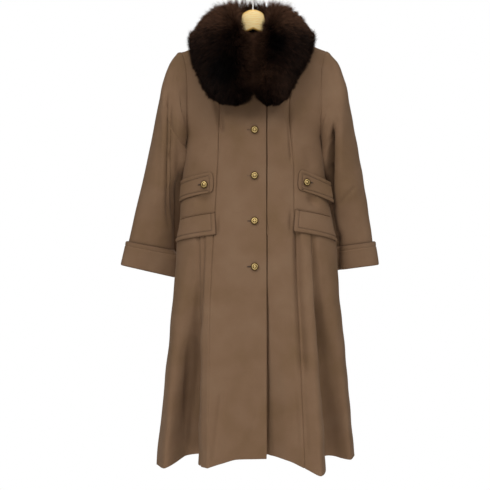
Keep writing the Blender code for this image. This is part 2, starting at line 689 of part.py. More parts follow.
def waist_tab(side, material):
    inner, outward = tab_surface(side)
    return wall(f"tab_{side}", inner + outward * APPLIED_THICK, inner, material)


# Fur collar


def arch_clear(points):
    """Points moved out of the arch that the coat and hanger make, to the fur's clearance."""
    across, along, height = points[..., 0], points[..., 1], points[..., 2]
    width = half_width(across, ARMPIT) + SHOULDER_SPREAD
    depth = np.where(along < 0, level("front", ARMPIT), level("back", ARMPIT)) * section_depth(across / width)
    tall = shoulder_height(across) - ARMPIT
    deep_share = np.abs(along) / depth
    rise = np.maximum(height - ARMPIT, 0) / tall
    reach = (deep_share**ARCH_POWER + rise**ARCH_POWER) ** (1 / ARCH_POWER)
    on_along, on_height = along / reach, ARMPIT + (height - ARMPIT) / reach
    slope_along = np.sign(along) * (deep_share / reach) ** (ARCH_POWER - 1) / depth
    slope_height = (rise / reach) ** (ARCH_POWER - 1) / tall
    length = np.hypot(slope_along, slope_height)
    slope_along, slope_height = slope_along / length, slope_height / length
    gap = (along - on_along) * slope_along + (height - on_height) * slope_height
    moved = points.copy()
    short = gap < COLLAR_CLEAR
    moved[..., 1] = np.where(short, on_along + slope_along * COLLAR_CLEAR, along)
    moved[..., 2] = np.where(short, on_height + slope_height * COLLAR_CLEAR, height)
    return moved


def collar_sections(steps, sides):
    """Rings of the fur's roll, from the wearer's right front end round the neck to the left one."""
    along = np.linspace(-1, 1, steps + 1)
    knots = [-row.along for row in COLLAR_STATIONS[:0:-1]] + [row.along for row in COLLAR_STATIONS]

    def column(name, odd):
        values = [getattr(row, name) for row in COLLAR_STATIONS]
        mirrored = [-value if odd else value for value in values[:0:-1]]
        return smooth_curve(knots, mirrored + values, along)

    upper, lower = (np.where(along < 0, *pair) for pair in zip(COLLAR_SPREAD["right"], COLLAR_SPREAD["left"]))
    start, end = COLLAR_SPREAD_CHANGE
    spread = upper + (lower - upper) * eased((np.abs(along) - start) / (end - start))
    across = column("across", True) * spread
    centre = np.stack([across, column("depth", False), column("height", False)], axis=-1)
    out = unit(np.stack([column("out_x", True), column("out_y", False), column("out_z", False)], axis=-1))
    path = unit(np.gradient(centre, axis=0))
    out = unit(out - path * (out * path).sum(axis=-1, keepdims=True))
    wide = np.cross(path, out)
    turns = np.arange(sides) * 2 * math.pi / sides
    power = 2 / COLLAR_POWER
    width_part = np.sign(np.cos(turns)) * np.abs(np.cos(turns)) ** power
    thick_part = np.sign(np.sin(turns)) * np.abs(np.sin(turns)) ** power
    half_wide = column("half_width", False) * spread
    rings = centre[:, None] + (wide * half_wide[:, None])[:, None] * width_part[None, :, None]
    rings += (out * column("half_thick", False)[:, None])[:, None] * thick_part[None, :, None]
    rings = arch_clear(rings)
    own_side = np.sign(along)[:, None]
    front = (rings[..., 1] < 0) & (own_side != 0)
    apart = own_side * np.maximum(rings[..., 0] * own_side, COLLAR_HALVES_GAP)
    rings[..., 0] = np.where(front, apart, rings[..., 0])
    return rings


def fur_collar(material):
    rings = collar_sections(COLLAR_STEPS, COLLAR_SIDES)
    steps, sides = rings.shape[:2]
    number = np.arange(steps * sides).reshape(steps, sides)
    faces = []
    for step in range(steps - 1):
        for side in range(sides):
            after = (side + 1) % sides
            quad = (number[step, side], number[step, after], number[step + 1, after], number[step + 1, side])
            faces.append([int(v) for v in quad])
    faces.append([int(v) for v in number[0][::-1]])
    faces.append([int(v) for v in number[-1]])
    return solid("fur_collar", rings.reshape(-1, 3), faces, material)


# Buttons


def turned(name, profile, steps):
    """A mesh turned about Z from points (radius, height), the first and last on the axis."""
    work = bmesh.new()
    points = [work.verts.new((radius, 0, height)) for radius, height in profile]
    edges = [work.edges.new(pair) for pair in zip(points, points[1:])]
    bmesh.ops.spin(work, geom=points + edges, cent=(0, 0, 0), axis=(0, 0, 1), angle=2 * math.pi, steps=steps)
    bmesh.ops.remove_doubles(work, verts=work.verts, dist=1e-6)
    bmesh.ops.recalc_face_normals(work, faces=work.faces)
    mesh = bpy.data.meshes.new(name)
    work.to_mesh(mesh)
    work.free()
    mesh.shade_smooth()
    mesh.set_sharp_from_angle(angle=35 * DEGREE)
    return mesh


def button_mesh():
    """A shank button: a dark rim round a ring with a boss in the middle."""
    shank = [(0, 0), (SHANK_RADIUS, 0), (SHANK_RADIUS, SHANK_LENGTH), (BUTTON_RADIUS * 0.95, SHANK_LENGTH)]
    face = [(BUTTON_RADIUS * point.radius_share, BUTTON_HEIGHT * point.height_share) for point in BUTTON_FACE]
    return turned("button", shank + face, BUTTON_STEPS)


def add_button(name, mesh, cloth, across, height, material):
    """A button standing square on the cloth, where a line from the front meets it."""
    ray_start = Vector((across, -HANG_LENGTH, height))
    _, point, outward, _ = cloth.ray_cast(ray_start, Vector((0, 1, 0)))
    thing = placed(name, mesh.copy(), material)
    turn = outward.to_track_quat("Z", "Y").to_matrix().to_4x4()
    thing.matrix_world = Matrix.Translation(point + outward * BUTTON_GAP) @ turn


def buttons(material):
    mesh = button_mesh()
    front = bpy.data.objects["front_right"]
    for index, height in enumerate(FRONT_BUTTON_HEIGHTS):
        name = f"button_front_{index + 1}"
        add_button(name, mesh, front, FRONT_BUTTON_ACROSS, height, material(f"Brass {name}"))
    for side, place in TAB_BUTTONS.items():
        tab = bpy.data.objects[f"tab_{side}"]
        name = f"button_tab_{side}"
        add_button(name, mesh, tab, SIDES[side] * place.across, place.height, material(f"Brass {name}"))


# Hanger


def hanger_wood(material):
    """The flat wooden hanger: an outline under the coat's shoulder line, given its thickness."""
    across = np.linspace(-HANGER_HALF_WIDTH, HANGER_HALF_WIDTH, 2 * HANGER_STEPS + 1)
    line = shoulder_height(across)
    square_to_slope = np.hypot(1, np.gradient(line, across))
    top = line - (CLOTH + HANGER_CLEAR) * square_to_slope
    underside = from_table(HANGER_UNDERSIDE, "height", np.abs(across), "across") + SHOULDER_TILT * across
    work = bmesh.new()
    outline = [(x, z) for x, z in zip(across, top)] + [(x, z) for x, z in zip(across[::-1], underside[::-1])]
    front = [work.verts.new((x, -HANGER_THICK / 2, z)) for x, z in outline]
    face = work.faces.new(front)
    pushed = bmesh.ops.extrude_face_region(work, geom=[face])
    moved = [v for v in pushed["geom"] if isinstance(v, bmesh.types.BMVert)]
    bmesh.ops.translate(work, verts=moved, vec=(0, HANGER_THICK, 0))
    bmesh.ops.recalc_face_normals(work, faces=work.faces)
    mesh = bpy.data.meshes.new("hanger_wood")
    work.to_mesh(mesh)
    work.free()
    thing = placed("hanger_wood", mesh, material)
    bevel = thing.modifiers.new("Rounded edges", "BEVEL")
    bevel.width = HANGER_BEVEL
    bevel.segments = 2
    bevel.limit_method = "ANGLE"
    bevel.angle_limit = 60 * DEGREE
    return thing


def hook_path():
    """The wire from the wood, up the shank, round the bend to its tip."""
    radius = HOOK_INSIDE + WIRE_RADIUS
    bend_steps, swing_steps = HOOK_STEPS
    foot = shoulder_height(0.0) - CLOTH - HANGER_CLEAR + SHANK_OFF_WOOD
    turns = np.linspace(HOOK_START, HOOK_END, bend_steps) * DEGREE
    bend = np.stack([radius * np.cos(turns), 0 * turns, -HOOK_INSIDE + radius * np.sin(turns)], axis=-1)
    start = np.array([0, 0, SHANK_TOP])
    heading = np.array([-math.sin(turns[0]), 0, math.cos(turns[0])])
    reach = np.linalg.norm(bend[0] - start)
    first_pull, second_pull = start + np.array([0, 0, reach / 2]), bend[0] - heading * reach / 2
    shares = np.linspace(0, 1, swing_steps)[:-1, None]
    swing = (
        (1 - shares) ** 3 * start
        + 3 * (1 - shares) ** 2 * shares * first_pull
        + 3 * (1 - shares) * shares**2 * second_pull
        + shares**3 * bend[0]
    )
    return [np.array([0, 0, foot]), *swing, *bend]


def hanger_hook(material):
    curve = bpy.data.curves.new("hanger_hook", "CURVE")
    curve.dimensions = "3D"
    curve.bevel_depth = WIRE_RADIUS
    curve.bevel_resolution = 2
    curve.use_fill_caps = True
    points = hook_path()
    spline = curve.splines.new("POLY")
    spline.points.add(len(points) - 1)
    for target, point in zip(spline.points, points):
        target.co = (*point, 1)
    thing = bpy.data.objects.new("hanger_hook", curve)
    curve.materials.append(material)
    bpy.context.scene.collection.objects.link(thing)
    return thing


# Materials


def material_maker():
    """A function that gives each piece a material of its own in a named finish."""
    finishes = {
        "Wool": ((0.178, 0.107, 0.065), 0.85, 0.0),
        "Fur": ((0.022, 0.010, 0.006), 0.75, 0.0),
        "Brass": ((0.480, 0.350, 0.120), 0.35, 1.0),
        "Wood": ((0.760, 0.560, 0.270), 0.50, 0.0),
        "Steel": ((0.600, 0.590, 0.570), 0.25, 1.0),
    }

    def make(name):
        colour, rough, metal = finishes[name.split()[0]]
        material = bpy.data.materials.new(name)
        material.use_nodes = True
        shader = material.node_tree.nodes["Principled BSDF"]
        shader.inputs["Base Color"].default_value = (*colour, 1)
        shader.inputs["Roughness"].default_value = rough
        shader.inputs["Metallic"].default_value = metal
        return material

    return make


def main():
    for old in list(bpy.data.objects):
        bpy.data.objects.remove(old)
    material = material_maker()
    grids, outward = body_panels()
    for panel, points in grids.items():
        outer = trimmed(points)
        wall(panel, outer, outer - outward[panel] * CLOTH, material(f"Wool {panel}"))
    for side in SIDES:
        rings, directions = sleeve_rings(grids, outward, side)
        wall(f"sleeve_{side}", rings, rings - directions * CLOTH, material(f"Wool sleeve_{side}"), True)
        rings, directions = cuff_rings(grids, side)
        wall(f"cuff_{side}", rings + directions * CLOTH, rings, material(f"Wool cuff_{side}"), True)
        pocket_flap(side, material(f"Wool pocket_flap_{side}"))
        waist_tab(side, material(f"Wool tab_{side}"))
    fur_collar(material("Fur"))
    buttons(material)
    hanger_wood(material("Wood"))
    hanger_hook(material("Steel"))


main()
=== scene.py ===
"""The looks of a long brown wool coat with a dark fur collar, on a flat wooden hanger.

Metres, +Z up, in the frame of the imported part: the coat's front faces -Y and the wearer's left is +X. Each
cloth piece is a fine sheet on the same surface as its solid, worked out from the same tables, with rolled
edges, soft creases and rows of stitches added. The fur is many tapered hairs, gathered into fine locks, that
stand on a pelt inside the collar's form.
"""

import math
from collections import namedtuple

import bmesh
import bpy
import numpy as np
from mathutils import Matrix, Vector
from mathutils.bvhtree import BVHTree
from mathutils.kdtree import KDTree


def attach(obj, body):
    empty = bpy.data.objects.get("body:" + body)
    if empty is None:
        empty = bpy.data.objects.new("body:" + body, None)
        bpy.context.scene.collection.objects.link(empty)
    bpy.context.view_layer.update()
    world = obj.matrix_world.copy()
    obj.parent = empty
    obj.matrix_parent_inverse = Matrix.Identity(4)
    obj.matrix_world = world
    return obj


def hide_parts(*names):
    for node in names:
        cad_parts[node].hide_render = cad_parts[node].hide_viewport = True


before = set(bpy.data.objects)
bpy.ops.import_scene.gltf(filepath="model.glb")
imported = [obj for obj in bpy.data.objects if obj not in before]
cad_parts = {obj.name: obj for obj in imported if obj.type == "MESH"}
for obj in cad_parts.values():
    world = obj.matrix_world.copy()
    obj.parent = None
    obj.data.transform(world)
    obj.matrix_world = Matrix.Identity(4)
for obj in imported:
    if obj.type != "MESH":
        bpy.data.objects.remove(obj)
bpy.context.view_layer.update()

# Cloth
CLOTH = 0.0022  # thickness of every wall
SEAM_GAP = 0.0003
LAP_INSET = 0.0036  # how far the under front lies behind the over front
LAP_EDGE = 0.0325  # the over front's free edge, past the centre line
UNDER_EDGE = -0.012
LAP_BLEND = (0.040, 0.085)  # across which the under front comes forward to the coat's surface

# Body
ARMPIT = -0.410
HEM = -1.250
SECTION_POWER = 2.2
ARCH_POWER = 2.2
SHOULDER_SPREAD = 0.040
SHOULDER_TILT = 0.013
NECK_HALF_WIDTH = 0.070
FRONT_NECK_DROP = 0.075
BACK_NECK_DROP = 0.022
FOLD_GROWTH = 1.25
HEM_GROWTH = 1.5

# How finely the sheets are divided
ROWS_BELOW = 120
ROWS_ABOVE = 44
CREST_RISE = 0.9975
SLEEVE_STEPS = 130
CUFF_STEPS = 24  # and as many again near its free edge
CUFF_CLOSE_ROWS = 0.32  # of its height, from that edge, has the closer rows

Level = namedtuple("Level", "height right left front back")
# Half widths to the wearer's right and left, and depths to the front and back, at each height
BODY_LEVELS = [
    Level(-0.410, 0.1745, 0.1785, 0.082, 0.072),
    Level(-0.460, 0.1765, 0.1815, 0.081, 0.068),
    Level(-0.507, 0.1835, 0.1872, 0.078, 0.062),
    Level(-0.565, 0.1872, 0.1965, 0.080, 0.064),
    Level(-0.617, 0.1911, 0.2060, 0.087, 0.071),
    Level(-0.671, 0.1968, 0.2145, 0.095, 0.080),
    Level(-0.765, 0.2035, 0.2205, 0.104, 0.090),
    Level(-0.980, 0.2244, 0.2408, 0.118, 0.112),
    Level(-1.250, 0.2530, 0.2650, 0.128, 0.140),
]

Princess = namedtuple("Princess", "height right left")
# How far the princess seams lie from the centre
PRINCESS_SEAMS = [
    Princess(-0.148, 0.1250, 0.1250),
    Princess(-0.220, 0.1070, 0.1090),
    Princess(-0.335, 0.0867, 0.0910),
    Princess(-0.440, 0.0885, 0.0985),
    Princess(-0.507, 0.0915, 0.1025),
    Princess(-0.600, 0.0965, 0.1030),
    Princess(-0.671, 0.1003, 0.1080),
    Princess(-0.850, 0.1075, 0.1120),
    Princess(-0.980, 0.1093, 0.1150),
    Princess(-1.250, 0.1112, 0.1220),
]

ShoulderPoint = namedtuple("ShoulderPoint", "across height")
# The top of the coat over the hanger, and the same line across the neck
SHOULDER_LINE = [
    ShoulderPoint(0.000, -0.0675),
    ShoulderPoint(0.028, -0.0805),
    ShoulderPoint(0.050, -0.0975),
    ShoulderPoint(0.070, -0.1145),
    ShoulderPoint(0.120, -0.1465),
    ShoulderPoint(0.166, -0.1722),
    ShoulderPoint(0.195, -0.1845),
    ShoulderPoint(0.225, -0.1960),
]

ArmholePoint = namedtuple("ArmholePoint", "rise inset")
# How far the armhole lies inside the armpit's half width, from the armpit (0) up to the shoulder (1)
ARMHOLE = [
    ArmholePoint(0.00, 0.0000),
    ArmholePoint(0.12, 0.0030),
    ArmholePoint(0.30, 0.0062),
    ArmholePoint(0.50, 0.0068),
    ArmholePoint(0.70, 0.0050),
    ArmholePoint(0.88, -0.0020),
    ArmholePoint(1.00, -0.0105),
]
SPREAD_RISE = 0.35

HemPoint = namedtuple("HemPoint", "name place share across depth height starts")
# Each panel's hem, from its first edge (place 0) to its second (place 1): its share of the turn between the
# seams, where it lies across and in depth, its height, and the height where the fold that leads to it starts
HEM_POINTS = {
    "front_right": [
        HemPoint("free edge", 0.00, 0.00, 0.0325, -0.1250, -1.2040, -0.75),
        HemPoint("flat front", 0.45, 0.47, -0.0380, -0.1350, -1.2025, -0.80),
        HemPoint("rising", 0.75, 0.75, -0.0768, -0.1450, -1.2096, -0.80),
        HemPoint("princess ridge", 1.00, 1.00, -0.1112, -0.1550, -1.2180, -0.72),
    ],
    "side_front_right": [
        HemPoint("princess ridge", 0.00, 0.00, -0.1112, -0.1550, -1.2180, -0.72),
        HemPoint("fold's edge", 0.20, 0.09, -0.1370, -0.1150, -1.2220, -0.72),
        HemPoint("fold's wall", 0.38, 0.17, -0.1400, -0.0350, -1.2280, -0.70),
        HemPoint("trough", 0.57, 0.30, -0.1720, 0.0000, -1.2317, -0.69),
        HemPoint("side ridge", 0.82, 0.68, -0.2225, -0.0600, -1.2450, -0.80),
        HemPoint("side seam", 1.00, 1.00, -0.2530, 0.0000, -1.2520, -0.75),
    ],
    "back_right": [
        HemPoint("side seam", 0.00, 0.00, -0.2530, 0.0000, -1.2520, -0.75),
        HemPoint("side ridge", 0.20, 0.24, -0.2300, 0.0850, -1.2480, -0.85),
        HemPoint("trough", 0.44, 0.46, -0.1680, 0.0860, -1.2420, -0.72),
        HemPoint("ridge", 0.66, 0.66, -0.1100, 0.1620, -1.2500, -0.70),
        HemPoint("shallow trough", 0.84, 0.84, -0.0500, 0.1260, -1.2440, -0.80),
        HemPoint("centre seam", 1.00, 1.00, 0.0000, 0.1480, -1.2450, -0.85),
    ],
    "back_left": [
        HemPoint("centre seam", 0.00, 0.00, 0.0000, 0.1480, -1.2450, -0.85),
        HemPoint("shallow trough", 0.20, 0.20, 0.0620, 0.1320, -1.2430, -0.90),
        HemPoint("ridge", 0.38, 0.38, 0.1250, 0.1600, -1.2480, -0.72),
        HemPoint("trough", 0.59, 0.56, 0.1820, 0.0820, -1.2380, -0.70),
        HemPoint("side ridge", 0.81, 0.78, 0.2420, 0.0800, -1.2360, -0.80),
        HemPoint("side seam", 1.00, 1.00, 0.2650, 0.0000, -1.2293, -0.75),
    ],
    "side_front_left": [
        HemPoint("side seam", 0.00, 0.00, 0.2650, 0.0000, -1.2293, -0.75),
        HemPoint("side ridge", 0.15, 0.30, 0.2480, -0.0380, -1.2300, -0.80),
        HemPoint("trough", 0.38, 0.62, 0.2120, -0.0180, -1.2295, -0.69),
        HemPoint("fold's wall", 0.58, 0.74, 0.1790, -0.0500, -1.2300, -0.70),
        HemPoint("fold's edge", 0.72, 0.80, 0.1760, -0.1300, -1.2320, -0.72),
        HemPoint("ridge", 0.85, 0.88, 0.1600, -0.1650, -1.2335, -0.74),
        HemPoint("princess seam", 1.00, 1.00, 0.1220, -0.1500, -1.2190, -0.72),
    ],
    "front_left": [
        HemPoint("princess seam", 0.00, 0.00, 0.1220, -0.1500, -1.2190, -0.72),
        HemPoint("falling back", 0.32, 0.32, 0.0840, -0.1260, -1.2080, -0.76),
        HemPoint("under the lap", 0.66, 0.66, 0.0374, -0.0980, -1.2030, -0.76),
        HemPoint("hidden edge", 1.00, 1.00, -0.0120, -0.0920, -1.2030, -0.76),
    ],
}
PANEL_COLUMNS = {
    "front_right": 56,
    "side_front_right": 68,
    "back_right": 44,
    "back_left": 44,
    "side_front_left": 68,
    "front_left": 34,
}
LAP_COLUMNS = (0.60, 0.72, 26)  # closer columns on the under front, beside the over front's edge
LAP_GROOVE = 0.0062  # how far the under front falls back along that edge
# Heights, and how wide half of that groove is there
LAP_GROOVE_HALF = ((-0.300, 0.0013), (-0.760, 0.0014), (-0.900, 0.0028), (-1.250, 0.0042))

SleeveRing = namedtuple(
    "SleeveRing", "along outer outer_height outer_back inner inner_height inner_back depth"
)
# Each sleeve's outer and inner edges, and half its depth between them, from the armhole to its end
SLEEVE_TABLES = {
    "right": [
        SleeveRing(0.00, 0.1935, -0.1850, 0.000, 0.1795, -0.4175, 0.000, 0.053),
        SleeveRing(0.08, 0.2125, -0.2120, 0.000, 0.1802, -0.4230, 0.001, 0.057),
        SleeveRing(0.16, 0.2275, -0.2480, 0.000, 0.1808, -0.4310, 0.003, 0.060),
        SleeveRing(0.27, 0.2403, -0.3045, 0.000, 0.1765, -0.4440, 0.009, 0.061),
        SleeveRing(0.40, 0.2538, -0.3700, 0.000, 0.1770, -0.4660, 0.018, 0.060),
        SleeveRing(0.54, 0.2678, -0.4350, 0.001, 0.1842, -0.4990, 0.031, 0.057),
        SleeveRing(0.68, 0.2806, -0.5050, 0.004, 0.1895, -0.5470, 0.047, 0.053),
        SleeveRing(0.83, 0.3045, -0.5930, 0.014, 0.1975, -0.6200, 0.069, 0.043),
        SleeveRing(0.95, 0.3240, -0.6760, 0.022, 0.2035, -0.7015, 0.084, 0.036),
        SleeveRing(1.00, 0.3430, -0.7335, 0.026, 0.2050, -0.7690, 0.092, 0.035),
    ],
    "left": [
        SleeveRing(0.00, 0.1975, -0.1850, 0.000, 0.1795, -0.4175, 0.000, 0.053),
        SleeveRing(0.08, 0.2190, -0.2120, 0.000, 0.1803, -0.4230, 0.001, 0.057),
        SleeveRing(0.16, 0.2330, -0.2480, 0.000, 0.1806, -0.4310, 0.003, 0.060),
        SleeveRing(0.27, 0.2463, -0.3045, 0.000, 0.1811, -0.4440, 0.009, 0.061),
        SleeveRing(0.40, 0.2586, -0.3700, 0.000, 0.1824, -0.4660, 0.018, 0.060),
        SleeveRing(0.54, 0.2706, -0.4350, 0.001, 0.1874, -0.4990, 0.031, 0.057),
        SleeveRing(0.68, 0.2838, -0.5050, 0.004, 0.1900, -0.5470, 0.047, 0.053),
        SleeveRing(0.83, 0.2988, -0.5930, 0.014, 0.1900, -0.6150, 0.069, 0.043),
        SleeveRing(0.95, 0.3128, -0.6760, 0.022, 0.1903, -0.6945, 0.084, 0.036),
        SleeveRing(1.00, 0.3265, -0.7325, 0.026, 0.1910, -0.7530, 0.092, 0.035),
    ],
}
SLEEVE_TROUGH = (0.012, 128.0, 26.0)  # its depth, and its place and width in degrees from the outer edge
SLEEVE_TROUGH_RUN = (0.15, 0.45)  # along the sleeve, over which the trough comes in
SLEEVE_TROUGH_END = (0.74, 0.90)  # and over which it goes out, above the cuff
CUFF_LEVEL = 0.9  # how far the rings are turned level from front to back, and where along the sleeve
CUFF_LEVEL_RUN = (0.72, 0.95)
HEAD_BLEND = 0.22  # along the sleeve, up to where its rings still have something of the armhole's form
CUFF_TOP = 0.948
CUFF_BOTTOM_OFF = 0.0005
CUFF_TOP_OFF = 0.0062

CollarStation = namedtuple(
    "CollarStation", "along across depth height half_width half_thick out_x out_y out_z"
)
# The fur's roll from the centre back, over the shoulder and down to its round front end, on the wearer's left
COLLAR_STATIONS = [
    CollarStation(0.00, 0.000, 0.082, -0.1120, 0.0700, 0.0290, 0.00, 0.95, 0.30),
    CollarStation(0.13, 0.048, 0.070, -0.1100, 0.0680, 0.0310, 0.25, 0.80, 0.50),
    CollarStation(0.26, 0.086, 0.038, -0.1100, 0.0640, 0.0330, 0.48, 0.40, 0.80),
    CollarStation(0.38, 0.102, -0.004, -0.1180, 0.0680, 0.0360, 0.55, -0.05, 0.83),
    CollarStation(0.50, 0.096, -0.052, -0.1480, 0.0720, 0.0400, 0.36, -0.60, 0.72),
    CollarStation(0.62, 0.0805, -0.088, -0.2020, 0.0790, 0.0400, 0.12, -0.92, 0.38),
    CollarStation(0.75, 0.0722, -0.107, -0.2520, 0.0712, 0.0370, 0.05, -0.99, 0.12),
    CollarStation(0.86, 0.0640, -0.112, -0.2900, 0.0635, 0.0340, 0.02, -1.00, 0.05),
    CollarStation(0.94, 0.0625, -0.111, -0.3180, 0.0490, 0.0280, 0.00, -1.00, 0.02),
    CollarStation(1.00, 0.0640, -0.108, -0.3370, 0.0220, 0.0140, 0.00, -1.00, 0.00),
]
# How wide each side lies, over the shoulder and then at its front end, and where along the roll that changes
COLLAR_SPREAD = {"right": (0.985, 0.975), "left": (0.945, 0.775)}
COLLAR_SPREAD_CHANGE = (0.45, 0.85)
COLLAR_CLEAR = 0.0035
COLLAR_HALVES_GAP = 0.0012
COLLAR_STEPS = 150
COLLAR_SIDES = 64
COLLAR_POWER = 2.15

Corner = namedtuple("Corner", "across height")
# Corners of what lies on the fronts: inner top, outer top, outer bottom, inner bottom
POCKET_FLAPS = {
    "right": [
        Corner(0.0954, -0.599),
        Corner(0.184, -0.6145),
        Corner(0.194, -0.6735),
        Corner(0.0915, -0.6558),
    ],
    "left": [
        Corner(0.1042, -0.5915),
        Corner(0.196, -0.609),
        Corner(0.2115, -0.6725),
        Corner(0.0985, -0.6478),
    ],
}
WAIST_TABS = {
    "right": [
        Corner(0.099, -0.4975),
        Corner(0.1815, -0.5155),
        Corner(0.186, -0.572),
        Corner(0.0985, -0.5505),
    ],
    "left": [
        Corner(0.113, -0.491),
        Corner(0.187, -0.521),
        Corner(0.1955, -0.576),
        Corner(0.110, -0.545),
    ],
}
APPLIED_THICK = 0.0030
APPLIED_GAP = 0.0009
FLAP_STAND_OFF = 0.0030
TAB_STAND_OFF = {"right": 0.002, "left": 0.011}
TAB_ROUNDING = 0.013
TAB_ROUNDING_POWER = 3.0
TAB_ROUNDING_FULL = 0.98  # how near the rounding comes to a full one at a tab's corners

HANGER_THICK = 0.012
HANGER_HALF_WIDTH = 0.177
HANGER_CLEAR = 0.0017
HANGER_COLUMNS = 118
HANGER_UNDERSIDE = [
    ShoulderPoint(0.000, -0.1212),
    ShoulderPoint(0.030, -0.1334),
    ShoulderPoint(0.070, -0.1480),
    ShoulderPoint(0.120, -0.1740),
    ShoulderPoint(0.150, -0.1880),
    ShoulderPoint(0.177, -0.1960),
]

BUTTON_RADIUS = 0.0093
BUTTON_HEIGHT = 0.0055
BUTTON_GAP = 0.0004
FRONT_BUTTON_ACROSS = 0.0030
FRONT_BUTTON_HEIGHTS = [-0.3940, -0.5078, -0.6216, -0.7349]
TAB_BUTTONS = {"right": Corner(0.1227, -0.5296), "left": Corner(0.1341, -0.5239)}

SIDES = {"right": -1, "left": 1}
DEGREE = math.pi / 180
SHARP_EDGE = 60 * DEGREE  # faces that meet at more than this have a sharp edge between them
UP = np.array([0.0, 0.0, 1.0])

# Edges: how far each added line lies from a seam, and how far it is turned in
SEAM_ROLL = [(0.0000, 0.0026), (0.0008, 0.0014), (0.0018, 0.0005), (0.0036, 0.0)]
FREE_ROLL = [(0.0000, 0.0016), (0.0004, 0.0007), (0.0011, 0.0002), (0.0022, 0.0)]
WELT_ROLL = [(0.0000, 0.0022), (0.0004, 0.0008), (0.0009, 0.0001)]
ROLL_CLEAR = 1.15  # of a roll's width is where the next line of the grid may lie
APPLIED_ROLL = [(0.0000, 0.0034), (0.0005, 0.0019), (0.0012, 0.0008), (0.0022, 0.0002), (0.0032, 0.0)]

